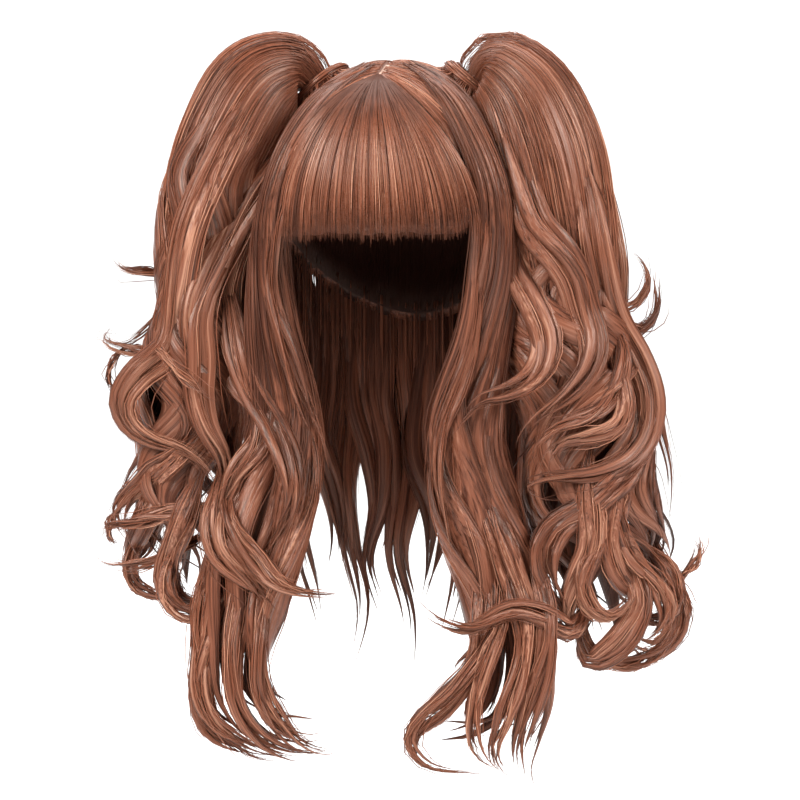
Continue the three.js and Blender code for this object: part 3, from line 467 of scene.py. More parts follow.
def whole(name, description, default):
    """A setting that is a count."""
    return bpy.props.IntProperty(name=name, description=description, default=default, min=1)


def tint(name, description, default):
    """A setting that is a colour."""
    return bpy.props.FloatVectorProperty(
        name=name, description=description, default=default, size=3, min=0.0, max=1.0, subtype="COLOR"
    )


class WigHead(bpy.types.PropertyGroup):
    """The hollow that takes the head, and the hair that lies on it"""

    width: length("Width", "Width of the hollow", 0.152)
    depth: length("Length", "Length of the hollow from front to back", 0.190)
    rise: length("Rise", "From the widest level of the head up to its top", 0.095)
    wall: length("Wall", "Thickness of the hair that lies on the head", 0.009)
    hairline_drop: length("Hairline drop", "From the top down to the front edge", 0.052)
    nape_drop: length("Nape drop", "From the top down to the edge at the nape", 0.150)
    rim_reach: share("Rim reach", "How much of the length lies between the rims", 0.86)
    parting_front: length("Parting front", "From the middle to the parting's front end", 0.052)
    parting_back: length("Parting back", "From the middle to the parting's back end", 0.034)
    parting_width: length("Parting width", "Width of the parting's groove", 0.004)
    parting_depth: length("Parting depth", "Depth of the parting's groove", 0.003)
    fringe_drop: length("Fringe drop", "From the top down to the fringe's cut edge", 0.1125)
    fringe_half_width: length("Fringe half width", "Half the width of the fringe", 0.062)
    fringe_thickness: length("Fringe thickness", "Thickness of the fringe at its root", 0.007)
    strands: whole("Strands", "Loose strands on the crown", 720)
    fringe_strands: whole("Fringe strands", "Loose strands on the fringe", 900)


class WigTails(bpy.types.PropertyGroup):
    """The two pigtails, each measured from the middle of its tie"""

    tie_out: length("Tie out", "From the middle of the head to the tie", 0.048)
    tie_radius: length("Tie radius", "Radius of the wound band", 0.017)
    tie_cord: length("Tie cord", "Radius of the band's section", 0.005)
    tie_seat: share("Tie seat", "Height of the band on the crown, over its section's radius", 0.6)
    spread: length("Spread", "From the tie out to the widest point", 0.150)
    fall: length("Fall", "From the tie down to the lowest point", 0.400)
    depth: length("Depth", "From the tie forwards to the front", 0.060)
    dome_strands: whole("Dome strands", "Loose strands on the smooth upper part of a pigtail", 300)
    curls: whole("Curls", "Wavy locks round the lower part of a pigtail", 30)
    swing: share("Swing", "How far round its body a curl swings, in radians", 0.55, 3.0)
    waves: share("Waves", "Full waves of the curls in the length of a pigtail", 3.4, 9.0)
    ways: whole("Ways", "Narrow locks in each main lock", 5)
    strands: whole("Strands", "Loose strands on each narrow lock", 7)


class WigFall(bpy.types.PropertyGroup):
    """The wig's own long hair, at the sides and down the back"""

    spread: length("Spread", "From the middle out to the widest point", 0.150)
    fall: length("Fall", "From the top down to the lowest tip", 0.480)
    depth: length("Depth", "From the middle forwards to the front", 0.100)
    gap: length("Gap", "Room between the crown and the hair over it", 0.0003)
    back_fall: length("Back fall", "From the top down to the tips at the back", 0.425)
    back_thickness: length("Back thickness", "Thickness of a lock at the back", 0.014)
    back_half_width: length("Back half width", "Half the width of a lock at the back", 0.026)
    back_turn: bpy.props.FloatProperty(
        name="Back turn", description="How far round the back hair starts, from the middle of the back",
        default=math.radians(98), subtype="ANGLE",
    )
    back_gather: share("Back gather", "How much closer the back locks are at their tips", 0.25)
    back_wave: length("Back wave", "How far a back lock swings to each side", 0.009)
    back_waves: share("Back waves", "Full waves in the length of a back lock", 2.2, 9.0)
    ribbons: whole("Ribbons", "Flat locks round the body of the side hair", 12)
    curls: whole("Curls", "Wavy locks round the lower part of the side hair", 9)
    swing: share("Swing", "How far round its body a curl swings, in radians", 0.35, 3.0)
    waves: share("Waves", "Full waves of the curls in the length of the side hair", 2.6, 9.0)
    ways: whole("Ways", "Narrow locks in each main lock", 5)
    strands: whole("Strands", "Loose strands on each narrow lock", 7)


class WigLook(bpy.types.PropertyGroup):
    """Colour, gloss and grain of the hair"""

    view_turn: bpy.props.FloatProperty(
        name="View turn", description="The locks are set out as seen from here, to the wearer's left",
        default=math.radians(12), subtype="ANGLE",
    )
    light: tint("Light hair", "Colour of the lightest strands", (0.56, 0.265, 0.165))
    middle: tint("Hair", "Colour of most strands", (0.262, 0.087, 0.046))
    dark: tint("Dark hair", "Colour of the darkest strands", (0.08, 0.023, 0.012))
    # Under hair is painted shade: the dark colour given to hair deep between the locks and to inner sides
    under: tint("Under hair", "Colour of the hair deep between the locks", (0.034, 0.010, 0.006))
    skin: tint("Parting", "Colour of the strip under the parting", (0.50, 0.27, 0.19))
    roughness: share("Roughness", "Roughness of a strand", 0.28)
    strand_width: length("Strand width", "Width of a loose strand", 0.0007)
    seed: whole("Seed", "Seed of everything that varies", 7)


class WigStage(bpy.types.PropertyGroup):
    """Floor, lights and camera"""

    floor_drop: length("Floor drop", "From the origin down to the floor", 0.56)
    camera_distance: length("Camera distance", "From the origin's axis to the camera", 1.5)
    camera_drop: length("Camera drop", "From the origin down to the camera", 0.170)
    aim_drop: length("Aim drop", "From the origin down to the point looked at", 0.2166)
    lens: share("Lens", "Focal length in millimetres", 100.8, 500.0)
    shift: bpy.props.FloatProperty(name="Shift", description="Sideways shift of the view", default=0.005)
    world: share("World", "Strength of the light from all round", 0.10, 10.0)
    key: share("Key", "Power of the softbox on the view's left, in watts", 52.0, 1000.0)
    fill: share("Fill", "Power of the softbox on the view's right, in watts", 42.0, 1000.0)
    wall: share("Wall", "Power of the light on the wall behind, in watts", 230.0, 1000.0)


def unit(v):
    """Vectors in rows, each made 1 long."""
    return v / np.maximum(np.linalg.norm(v, axis=-1, keepdims=True), 1e-12)


def ease(x, low, high):
    """Rises smoothly from 0 at low to 1 at high."""
    t = np.clip((np.asarray(x, float) - low) / (high - low), 0, 1)
    return t * t * (3 - 2 * t)


def blend(a, b, t):
    """a where t is 0 and b where it is 1."""
    return a + (b - a) * t


def curve(rows, count):
    """count rows at equal lengths along a smooth line through rows, whose first three columns are a point."""
    p = np.asarray(rows, float)
    p = np.vstack([2 * p[0] - p[1], p, 2 * p[-1] - p[-2]])
    steps = np.sqrt(np.linalg.norm(np.diff(p[:, :3], axis=0), axis=1)) + 1e-9
    knots = np.concatenate([[0], np.cumsum(steps)])
    line = []
    for i in range(1, len(p) - 2):
        k0, k1, k2, k3 = knots[i - 1 : i + 3]
        t = np.linspace(k1, k2, PATH_POINTS)[:, None]
        t = t if i == len(p) - 3 else t[:-1]
        a = ((k1 - t) * p[i - 1] + (t - k0) * p[i]) / (k1 - k0)
        b = ((k2 - t) * p[i] + (t - k1) * p[i + 1]) / (k2 - k1)
        c = ((k3 - t) * p[i + 1] + (t - k2) * p[i + 2]) / (k3 - k2)
        ab = ((k2 - t) * a + (t - k0) * b) / (k2 - k0)
        bc = ((k3 - t) * b + (t - k1) * c) / (k3 - k1)
        line.append(((k2 - t) * ab + (t - k1) * bc) / (k2 - k1))
    line = np.vstack(line)
    along = np.concatenate([[0], np.cumsum(np.linalg.norm(np.diff(line[:, :3], axis=0), axis=1))])
    wanted = np.linspace(0, along[-1], count)
    return np.stack([np.interp(wanted, along, column) for column in line.T], axis=1)


class Head:
    """The rounded form of the head and the view that the locks are set out in."""

    def __init__(self, context):
        head, look = context.scene.wig_head, context.scene.wig_look
        self.wall = head.wall
        self.radii = np.array([head.width / 2, head.depth / 2, head.rise])
        self.middle = np.array([0, 0, -head.rise])
        turn = look.view_turn
        self.right = np.array([math.cos(turn), math.sin(turn), 0])
        self.towards = np.array([math.sin(turn), -math.cos(turn), 0])

    def from_view(self, right, towards, up):
        """From the view that the locks are set out in, to the wig's own axes."""
        return (
            np.multiply.outer(right, self.right)
            + np.multiply.outer(towards, self.towards)
            + np.multiply.outer(up, [0, 0, 1.0])
        )

    def clear(self, points, lift):
        """Moves points that are inside the head's form, larger by lift, out onto it."""
        off = points - self.middle
        lift = np.reshape(lift, (-1, 1)) if np.ndim(lift) else lift
        reach = np.linalg.norm(off / (self.radii + lift), axis=-1, keepdims=True)
        return self.middle + off / np.minimum(reach, 1)

    def on_crown(self, x, y, lift=0.0):
        """Points of the crown's face above x and y, raised by lift."""
        rx, ry, rz = self.radii + self.wall + lift
        rise = np.sqrt(np.maximum(0, 1 - (x / rx) ** 2 - (y / ry) ** 2))
        return np.stack(np.broadcast_arrays(x, y, self.middle[2] + rz * rise), axis=-1)

    def off(self, points):
        """Straight off the head above its middle, and level from its axis below."""
        level = np.maximum(points[..., 2], self.middle[2]) - self.middle[2]
        return unit(np.stack([points[..., 0], points[..., 1], level], axis=-1))

    def facing(self, points):
        """Off the head while hair lies on it, and towards the view where it hangs."""
        lying = ease(points[..., 2:], -1.6 * self.radii[2], -0.6 * self.radii[2])
        return unit(points - self.middle) * lying + self.towards * (1 - lying)

    def lie(self, points, body, over=0.008):
        """Moves points that are inside a body of hair over its skin, towards the view or away from it."""
        def flat(p):
            return np.stack([p @ self.right, p[..., 2]], axis=-1)

        apart = flat(points)[:, None] - flat(body.at)[None]
        near = np.argmin(np.linalg.norm(apart, axis=-1), axis=1)
        aside = np.sum(apart[np.arange(len(points)), near] * flat(body.side)[near], axis=-1)
        raised = over * ease(body.t[near], 0.12, 0.42)
        depth = (body.thick[near] + raised) * np.sqrt(np.maximum(0, 1 - (aside / body.wide[near]) ** 2))
        middle, ahead = body.at[near] @ self.towards, points @ self.towards
        skin = np.where(
            ahead > middle - 0.005, np.maximum(ahead, middle + depth), np.minimum(ahead, middle - depth)
        )
        return points + np.multiply.outer(skin - ahead, self.towards)

    def to_view(self, points):
        """Towards the view, at each point."""
        return np.broadcast_to(self.towards, points.shape)


def lock_size(t):
    """A lock swells from its root, keeps its width and thins to its tip."""
    return (0.45 + 0.55 * ease(t, 0, 0.25)) * (1 - 0.84 * ease(t, 0.55, 1))


def rooted(t):
    """Draws a lock out of the hair under it, from almost nothing."""
    return 0.12 + 0.88 * ease(t, 0, 0.4)


class Flow:
    """A lock's line: its points, which way its flat faces, and its half widths and half thicknesses."""

    def __init__(self, at, faces, wide, thick):
        self.at = at
        self.tangent = unit(np.gradient(at, axis=0))
        self.normal = unit(faces - self.tangent * np.sum(faces * self.tangent, 1, keepdims=True))
        self.side = np.cross(self.tangent, self.normal)
        self.wide, self.thick = wide, thick
        self.t = np.linspace(0, 1, len(at))
        self.length = float(np.sum(np.linalg.norm(np.diff(at, axis=0), axis=1)))

    @classmethod
    def through(cls, points, faces, sizes, count):
        """Through rows of points. sizes is a row for each point, or one half width and half thickness."""
        if np.ndim(sizes) == 2:
            rows = curve(np.hstack([points, sizes]), count)
            at, wide, thick = rows[:, :3], rows[:, 3], rows[:, 4]
        else:
            at = curve(points, count)
            size = lock_size(np.linspace(0, 1, count))
            wide, thick = sizes[0] * size, sizes[1] * size
        tangent = unit(np.gradient(at, axis=0))
        wanted = unit(faces(at))
        turned = [wanted[0]]
        for step, wish in zip(tangent, wanted):
            face = 0.8 * turned[-1] + 0.2 * wish
            turned.append(unit(face - step * (face @ step)))
        return cls(at, np.array(turned[1:]), wide, thick)

    def sample(self, name, t):
        """A column or a row of columns at t, which may be any shape and go past the tip."""
        values = getattr(self, name)
        t = np.asarray(t, float)
        if values.ndim == 1:
            return np.interp(t, self.t, values)
        found = np.stack([np.interp(t, self.t, column) for column in values.T], axis=-1)
        if name == "at":
            found = found + np.maximum(t - 1, 0)[..., None] * self.length * self.tangent[-1]
        return found

    def surface(self, angle, t, reach=1.0, more=0.0):
        """Points of the lock's skin, angle from its side edge, and which way they face."""
        across, out = np.cos(angle), np.sin(angle)
        wide = (self.sample("wide", t) * reach + more)[..., None]
        thick = (self.sample("thick", t) * reach + more)[..., None]
        side, normal = self.sample("side", t), self.sample("normal", t)
        at = self.sample("at", t) + side * wide * across[..., None] + normal * thick * out[..., None]
        faces = side * thick * across[..., None] + normal * wide * out[..., None]
        return at, unit(faces)

    def sunk(self, depth, until):
        """The same lock with its root deeper in the hair under it."""
        down = depth * (1 - ease(self.t, 0, until))
        return Flow(self.at - self.normal * down[:, None], self.normal, self.wide, self.thick)

    def split(self, rng, ways, fan=0.3, sway=0.0010, swell=0.0):
        """Narrower locks side by side, that part towards the tip and swell off the hair under them."""
        parts = []
        together = rng.uniform(0, 2 * math.pi)
        for k in range(ways):
            across = (k + 0.5) / ways * 2 - 1 + rng.normal(0, 0.08)
            deep = rng.uniform(-0.6, 0.6) * math.sqrt(max(0.05, 1 - across**2))
            t = self.t * rng.uniform(0.82, 1.0)
            parted = 1 + fan * rng.uniform(-0.4, 1.0) * t**2
            beat, phase, other = rng.uniform(1.0, 2.6), *rng.uniform(0, 2 * math.pi, 2)
            loose = sway * ease(t, 0, 0.4) * (1 + 1.5 * t)
            wide, thick = self.sample("wide", t), self.sample("thick", t)
            side, normal = self.sample("side", t), self.sample("normal", t)
            aside = wide * 0.55 * across * parted + loose * np.sin(2 * math.pi * beat * t + phase)
            out = thick * 0.5 * deep * parted + loose * np.cos(2 * math.pi * beat * t + other)
            wave = 2 * math.pi * t * self.length / 0.1 + together + 0.5 * across
            out = out + swell * ease(t, 0.1, 0.35) * np.sin(wave)
            at = self.sample("at", t) + side * aside[:, None] + normal * out[:, None]
            turn = rng.normal(0, 0.5) * t**1.5
            faces = normal * np.cos(turn)[:, None] + side * np.sin(turn)[:, None]
            ends = pointed(self.t) * rooted(self.t)
            share = 1.35 / ways * rng.uniform(0.8, 1.2)
            parts.append(Flow(at, faces, wide * share * ends, thick * rng.uniform(0.32, 0.5) * ends))
        return parts

    def curls(self, rng, count, swing, waves, begin=(0.28, 0.48), grow=0.0):
        """Wavy locks round the skin of a fat body of hair, over its lower part, that mostly wave together."""
        parts = []
        together = rng.uniform(0, 2 * math.pi)
        s = np.linspace(0, 1, CURL_POINTS)
        shape = CURL_HALF_WIDTH * lock_size(s) * pointed(s) * rooted(s)
        for k in range(count):
            first = rng.uniform(*begin)
            t = first + (rng.uniform(0.88, 1.02) - first) * s
            base = 2 * math.pi * (k + rng.uniform(-0.3, 0.3)) / count
            phase = together + 0.8 * math.sin(base) + rng.normal(0, 0.35)
            wave = 2 * math.pi * waves * (t * rng.uniform(0.97, 1.03)) + phase
            grown = ease(s, 0, 0.3) * ease(t, grow, grow + 0.25) * rng.uniform(0.7, 1.2)
            angle = base + swing * grown * np.sin(wave)
            at, faces = self.surface(angle, t, 1 + 0.1 * grown * np.cos(wave + 0.8))
            at = at - faces * (0.005 * (1 - ease(s, 0, 0.3)))[:, None]
            across = self.sample("side", t)
            hook = rng.uniform(-0.025, 0.025) * ease(s, 0.8, 1)
            turn = 0.5 * grown * np.cos(wave)
            parts.append(Flow(
                at + across * hook[:, None],
                faces * np.cos(turn)[:, None] + across * np.sin(turn)[:, None],
                rng.uniform(0.7, 1.25) * shape,
                0.3 * shape,
            ))
        return parts

    def ribbons(self, rng, count):
        """Flat locks round the skin of a fat body of hair, from its root towards its tip."""
        parts = []
        for k in range(count):
            angle = 2 * math.pi * (k + rng.uniform(-0.3, 0.3)) / count
            beat, phase = rng.uniform(0.5, 1.6), rng.uniform(0, 2 * math.pi)
            t = self.t * rng.uniform(0.65, 0.95)
            wander = angle + 0.18 * ease(t, 0.1, 0.6) * np.sin(2 * math.pi * beat * t + phase)
            at, faces = self.surface(wander, t, rng.uniform(0.98, 1.02))
            at = at - faces * (0.003 * (1 - ease(t, 0, 0.12)))[:, None]
            round_about = math.pi * (self.sample("wide", t) + self.sample("thick", t))
            ends = pointed(self.t)
            wide = 0.75 * round_about / count * rng.uniform(0.8, 1.3) * ends
            parts.append(Flow(at, faces, wide, np.minimum(RIBBON_THICKNESS, wide * 0.6) * ends))
        return parts


def pointed(t):
    """Closes a lock at its root and draws it out to a point at its tip."""
    return np.sqrt(ease(t, -0.02, 0.08)) * np.clip((1 - t) / 0.22, 0, 1) ** 0.6


class Atlas:
    """Packs strips in rows in the unit square, so that no two share any of it."""

    def __init__(self, sizes):
        sizes = np.asarray(sizes, float)
        order = np.argsort(-sizes[:, 1])
        row = math.sqrt(float(np.sum(sizes[:, 0] * sizes[:, 1]))) * 1.05
        self.corner = np.zeros_like(sizes)
        x = y = height = wide = 0.0
        for i in order:
            if x and x + sizes[i, 0] > row:
                x, y, height = 0.0, y + height, 0.0
            self.corner[i] = x, y
            x += sizes[i, 0]
            height = max(height, sizes[i, 1])
            wide = max(wide, x)
        self.scale = 1 / max(wide, y + height)
        self.sizes = sizes

    def place(self, i, u, v):
        """u and v, from 0 to 1 in strip i, in the square. A tenth of the strip is left free all round."""
        inner = np.stack([0.1 + 0.8 * u, 0.02 + 0.96 * v], axis=-1)
        return (self.corner[i] + inner * self.sizes[i]) * self.scale


def dress(mesh, uvs, shades):
    """Gives a mesh its uv maps, by name, and the shade of each point."""
    for key, uv in uvs.items():
        mesh.uv_layers.new(name=key).data.foreach_set("uv", uv.astype(np.float32).ravel())
    mesh.attributes.new("shade", "FLOAT", "POINT").data.foreach_set("value", shades.astype(np.float32))


def plain_mesh(name, points, corners, starts, uvs, shades):
    """A mesh from arrays.

    They are the points, each face's corners, where each face starts, the uv maps
    by name, and the shade of each point.
    """
    mesh = bpy.data.meshes.new(name)
    mesh.vertices.add(len(points))
    mesh.vertices.foreach_set("co", points.astype(np.float32).ravel())
    mesh.loops.add(len(corners))
    mesh.loops.foreach_set("vertex_index", corners.astype(np.int32))
    mesh.polygons.add(len(starts))
    mesh.polygons.foreach_set("loop_start", starts.astype(np.int32))
    mesh.update(calc_edges=True)
    mesh.validate()
    mesh.polygons.foreach_set("use_smooth", np.ones(len(mesh.polygons), bool))
    dress(mesh, uvs, shades)
    return mesh


def no_painted_shade(points):
    """Painted shade by place alone: none here, a factor of 1 all over."""
    return 1.0


class Patches:
    """Grids, each bent into a lock or a sheet of hair, and joined in one mesh."""

    def __init__(self, painted_shade=no_painted_shade):
        self.bm = bmesh.new()
        self.made = []
        self.painted_shade = painted_shade

    def add(self, place, columns, rows, size, shade):
        """A patch whose points place(u, v) gives.

        size is its real width and length. shade may go by u and v too.
        """
        start = len(self.bm.verts)
        bmesh.ops.create_grid(self.bm, x_segments=columns, y_segments=rows, size=0.5)
        self.made.append((start, len(self.bm.verts), place, size, shade))

    def lock(self, flow, sides, shade, groove, rng):
        """A closed lock round a flow, with grooves along it that wander a little."""
        beats = [(n, *rng.uniform(0, 2 * math.pi, 2)) for n in (5, 11, 17, 23)]

        def place(u, v):
            angle = 2 * math.pi * u
            reach = np.ones_like(u)
            for n, phase, other in beats:
                reach += groove * np.sin(n * angle + phase + 1.5 * np.sin(4 * v + other)) * ease(v, 0, 0.2)
            at, _ = flow.surface(angle, v)
            middle = flow.sample("at", v)
            return middle + (at - middle) * reach[:, None]

        around = math.pi * float(np.mean(flow.wide + flow.thick))
        rows = int(np.clip(flow.length / LOCK_STEP, 14, LOCK_POINTS - 1))
        self.add(place, sides, rows, (around, flow.length), shade)

    def mesh(self, name):
        """Every patch in place, edges that meet merged, and faces outwards."""
        mesh = bpy.data.meshes.new(name)
        self.bm.to_mesh(mesh)
        self.bm.free()
        flat = np.empty(len(mesh.vertices) * 3, np.float32)
        mesh.vertices.foreach_get("co", flat)
        grid = flat.reshape(-1, 3)[:, :2].astype(float) + 0.5
        points = np.empty((len(grid), 3))
        shades = np.empty(len(grid))
        hair_uv, bake_uv = np.empty_like(grid), np.empty_like(grid)
        atlas = Atlas([(size[0] * 1.25, size[1] * 1.05) for _, _, _, size, _ in self.made])
        for i, (start, end, place, size, shade) in enumerate(self.made):
            u, v = grid[start:end].T
            points[start:end] = place(u, v)
            # Each point's shade is multiplied by its painted shade by place
            shades[start:end] = (shade(u, v) if callable(shade) else shade) * self.painted_shade(points[start:end])
            hair_uv[start:end] = np.stack([u * size[0] + 0.37 * i, v * size[1]], axis=-1)
            bake_uv[start:end] = atlas.place(i, u, v)
        mesh.vertices.foreach_set("co", points.astype(np.float32).ravel())
        at = np.empty(len(mesh.loops), np.int32)
        mesh.loops.foreach_get("vertex_index", at)
        dress(mesh, {"strand": hair_uv[at], "OFBake": bake_uv[at]}, shades)
        bm = bmesh.new()
        bm.from_mesh(mesh)
        bmesh.ops.remove_doubles(bm, verts=bm.verts, dist=1e-6)
        bmesh.ops.recalc_face_normals(bm, faces=bm.faces)
        for face in bm.faces:
            face.smooth = True
        bm.to_mesh(mesh)
        bm.free()
        return mesh


class Strands:
    """Thin three-sided strands, drawn out to a tip, joined in one mesh."""

    SIDES = 3

    def __init__(self, rng, width):
        self.rng, self.width = rng, width
        self.batches = []
        self.painted_shade = no_painted_shade

    def add(self, at, faces, shade, width=1.0):
        """at and faces are rows of points and directions, one row for each strand."""
        x = np.linspace(0, 1, at.shape[1])
        taper = (0.55 + 0.45 * ease(x, 0, 0.1)) * (1 - 0.82 * ease(x, 0.7, 1))
        fat = self.width / 2 * width * self.rng.uniform(0.75, 1.3, len(at))
        self.batches.append((at, faces, fat[:, None] * taper, shade))

    def cover(
        self, flow, count, shade, lift=0.0, edge=0.45, begin=(0.0, 0.35), stop=(0.8, 1.02), reach=(0.9, 1.1)
    ):
        """count strands on the skin of a flow. A few of them stand off it."""
        rng = self.rng
        points = int(np.clip(flow.length / STRAND_STEP, 9, 32))
        angle = rng.uniform(0, 2 * math.pi, count)
        late = np.sqrt(rng.random(count))
        start = blend(begin[0], rng.uniform(*begin, count), late)
        end = rng.uniform(*stop, count)
        t = start[:, None] + (end - start)[:, None] * np.linspace(0, 1, points)
        drift = rng.normal(0, 0.2, count)[:, None] * t
        out = rng.uniform(*reach, count)[:, None] * (1 + 0.6 * ease(t, 0.75, 1))
        at, faces = flow.surface(angle[:, None] + drift, t, out, 0.0005)
        loose = np.where(rng.random(count) < 0.11, 0.0072, 0.0009)[:, None, None]
        away = rng.normal(0, 1, (count, 1, 3)) * loose * (t**2)[..., None]
        beat = rng.uniform(2, 5, (count, 1))
        ripple = np.sin(2 * math.pi * beat * t + rng.uniform(0, 2 * math.pi, (count, 1)))
        at = at + away + flow.sample("side", t) * (ripple * 0.0005)[..., None]
        tones = np.clip(shade + rng.normal(0, 0.22, count), 0, 1)[:, None]
        # Painted shade and light: darker towards the root, lighter towards the tip by lift as painted light,
        # and darker on the lock's side edges and under side, down to edge
        tones = tones * blend(0.6, 1, ease(t, 0, 0.3)) + lift * ease(t, 0.5, 0.8)
        self.add(at, faces, tones * blend(edge, 1, ease(np.sin(angle)[:, None], -0.3, 0.8)))

    def mesh(self, name):
        """Every strand as a closed tube, with its shade and both uv maps."""
        points, corners, starts, shades, hair_uv, bake = [], [], [], [], [], []
        n_points = n_corners = n_strands = 0
        for at, faces, fat, shade in self.batches:
            count, rows = at.shape[:2]
            tangent = unit(np.gradient(at, axis=1))
            normal = unit(faces - tangent * np.sum(faces * tangent, -1, keepdims=True))
            side = np.cross(tangent, normal)
            turn = np.arange(self.SIDES) * 2 * math.pi / self.SIDES
            ring = normal[:, :, None] * np.cos(turn)[:, None] + side[:, :, None] * np.sin(turn)[:, None]
            points.append((at[:, :, None] + ring * fat[:, :, None, None]).reshape(-1, 3))
            first = n_points + np.arange(count)[:, None, None] * rows * self.SIDES
            row = np.arange(rows - 1)[None, :, None] * self.SIDES
            j = np.arange(self.SIDES)[None, None, :]
            k = (j + 1) % self.SIDES
            near, far = first + row, first + row + self.SIDES
            quads = np.stack([near + j, near + k, far + k, far + j], axis=-1)
            base = n_points + np.arange(count)[:, None] * rows * self.SIDES
            caps = np.concatenate([base + [2, 1, 0], base + (rows - 1) * self.SIDES + [0, 1, 2]], axis=1)
            n_quads = (rows - 1) * self.SIDES
            corners.append(np.concatenate([quads.reshape(count, -1), caps], axis=1).ravel())
            each = np.concatenate([np.arange(n_quads) * 4, n_quads * 4 + np.array([0, 3])])
            per = n_quads * 4 + 6
            starts.append((n_corners + np.arange(count)[:, None] * per + each).ravel())
            # Each point's shade is multiplied by its painted shade by place
            shade = np.broadcast_to(np.reshape(shade, (count, -1)), (count, rows)) * self.painted_shade(at)
            shades.append(np.repeat(shade.ravel(), self.SIDES))
            long = np.sum(np.linalg.norm(np.diff(at, axis=1), axis=2), axis=1)
            along = np.linspace(0, 1, rows)
            side_u = np.stack([j, j + 1, j + 1, j], axis=-1) / self.SIDES
            u = np.broadcast_to(side_u, (1, rows - 1, self.SIDES, 4))
            v = np.stack([along[:-1], along[:-1], along[1:], along[1:]], axis=-1)[None, :, None, :]
            v = np.broadcast_to(v, (1, rows - 1, self.SIDES, 4))
            cap_u = np.array([0.3, 0.5, 0.7, 0.3, 0.5, 0.7])
            cap_v = np.array([0.0, 0.0, 0.0, 1.0, 1.0, 1.0])
            u = np.concatenate([u.reshape(-1), cap_u])
            v = np.concatenate([v.reshape(-1), cap_v])
            which = n_strands + np.arange(count)
            hair_uv.append(np.stack([np.repeat(which * 0.0173, per), (long[:, None] * v).ravel()], axis=-1))
            bake.append(np.stack([np.repeat(which, per), np.tile(u, count), np.tile(v, count)], axis=-1))
            n_points += count * rows * self.SIDES
            n_corners += count * per
            n_strands += count
        bake = np.vstack(bake)
        columns = math.ceil(math.sqrt(n_strands * 40))
        lines = math.ceil(n_strands / columns)
        which = bake[:, 0].astype(int)
        bake_uv = np.stack([
            (which % columns + 0.15 + 0.7 * bake[:, 1]) / columns,
            (which // columns + 0.02 + 0.96 * bake[:, 2]) / lines,
        ], axis=-1)
        return plain_mesh(
            name, np.vstack(points), np.concatenate(corners), np.concatenate(starts),
            {"strand": np.vstack(hair_uv), "OFBake": bake_uv}, np.concatenate(shades),
        )


class Signal:
    """One output of a shader node. Arithmetic on it makes Math nodes."""

    def __init__(self, graph, socket):
        self.graph, self.socket = graph, socket

    def math(self, operation, *values):
        return self.graph.node("ShaderNodeMath", {"operation": operation}, dict(enumerate(values)))

    def __add__(self, other):
        return self.math("ADD", self, other)

    def __sub__(self, other):
        return self.math("SUBTRACT", self, other)

    def __mul__(self, other):
        return self.math("MULTIPLY", self, other)

    def __radd__(self, other):
        return self.math("ADD", other, self)

    def __rsub__(self, other):
        return self.math("SUBTRACT", other, self)

    def __rmul__(self, other):
        return self.math("MULTIPLY", other, self)

    def clamp(self):
        return self.math("MAXIMUM", self.math("MINIMUM", self, 1.0), 0.0)

    def ease(self, low, high):
        """Rises smoothly from 0 at low to 1 at high."""
        settings = {"interpolation_type": "SMOOTHSTEP"}
        return self.graph.node("ShaderNodeMapRange", settings, {0: self, 1: low, 2: high})


class Graph:
    """The node tree of one material."""

    def __init__(self, name):
        self.material = bpy.data.materials.new(name)
        self.material.use_nodes = True
        self.tree = self.material.node_tree
        self.tree.nodes.clear()
        self.shader = self.tree.nodes.new("ShaderNodeBsdfPrincipled")
        out = self.tree.nodes.new("ShaderNodeOutputMaterial")
        self.tree.links.new(self.shader.outputs[0], out.inputs["Surface"])

    def feed(self, socket, value):
        """Links a signal to a socket, or sets the socket's plain value."""
        if isinstance(value, Signal):
            self.tree.links.new(value.socket, socket)
        else:
            socket.default_value = value

    def node(self, kind, settings=None, inputs=None, output=0):
        """Any node, by its type, its settings and its inputs by name or place."""
        node = self.tree.nodes.new(kind)
        for key, value in (settings or {}).items():
            setattr(node, key, value)
        for key, value in (inputs or {}).items():
            self.feed(node.inputs[key], value)
        return Signal(self, node.outputs[output])

    def vector(self, x, y, z=0.0):
        return self.node("ShaderNodeCombineXYZ", {}, {0: x, 1: y, 2: z})

    def split(self, vector):
        made = self.node("ShaderNodeSeparateXYZ", {}, {0: vector})
        return [Signal(self, output) for output in made.socket.node.outputs]

    def noise(self, vector, scale=1.0, detail=2.0):
        return self.node("ShaderNodeTexNoise", {}, {"Vector": vector, "Scale": scale, "Detail": detail})

    def mix(self, factor, a, b):
        """From colour a at 0 to colour b at 1."""
        settings = {"data_type": "RGBA"}
        node = self.node("ShaderNodeMix", settings, {0: factor}, output=2)
        for slot, value in ((6, a), (7, b)):
            self.feed(node.socket.node.inputs[slot], value if isinstance(value, Signal) else (*value, 1.0))
        return node

    def finish(self, **values):
        """The material, with its shader's inputs set by name."""
        for key, value in values.items():
            self.feed(self.shader.inputs[key.replace("_", " ")], value)
        return self.material


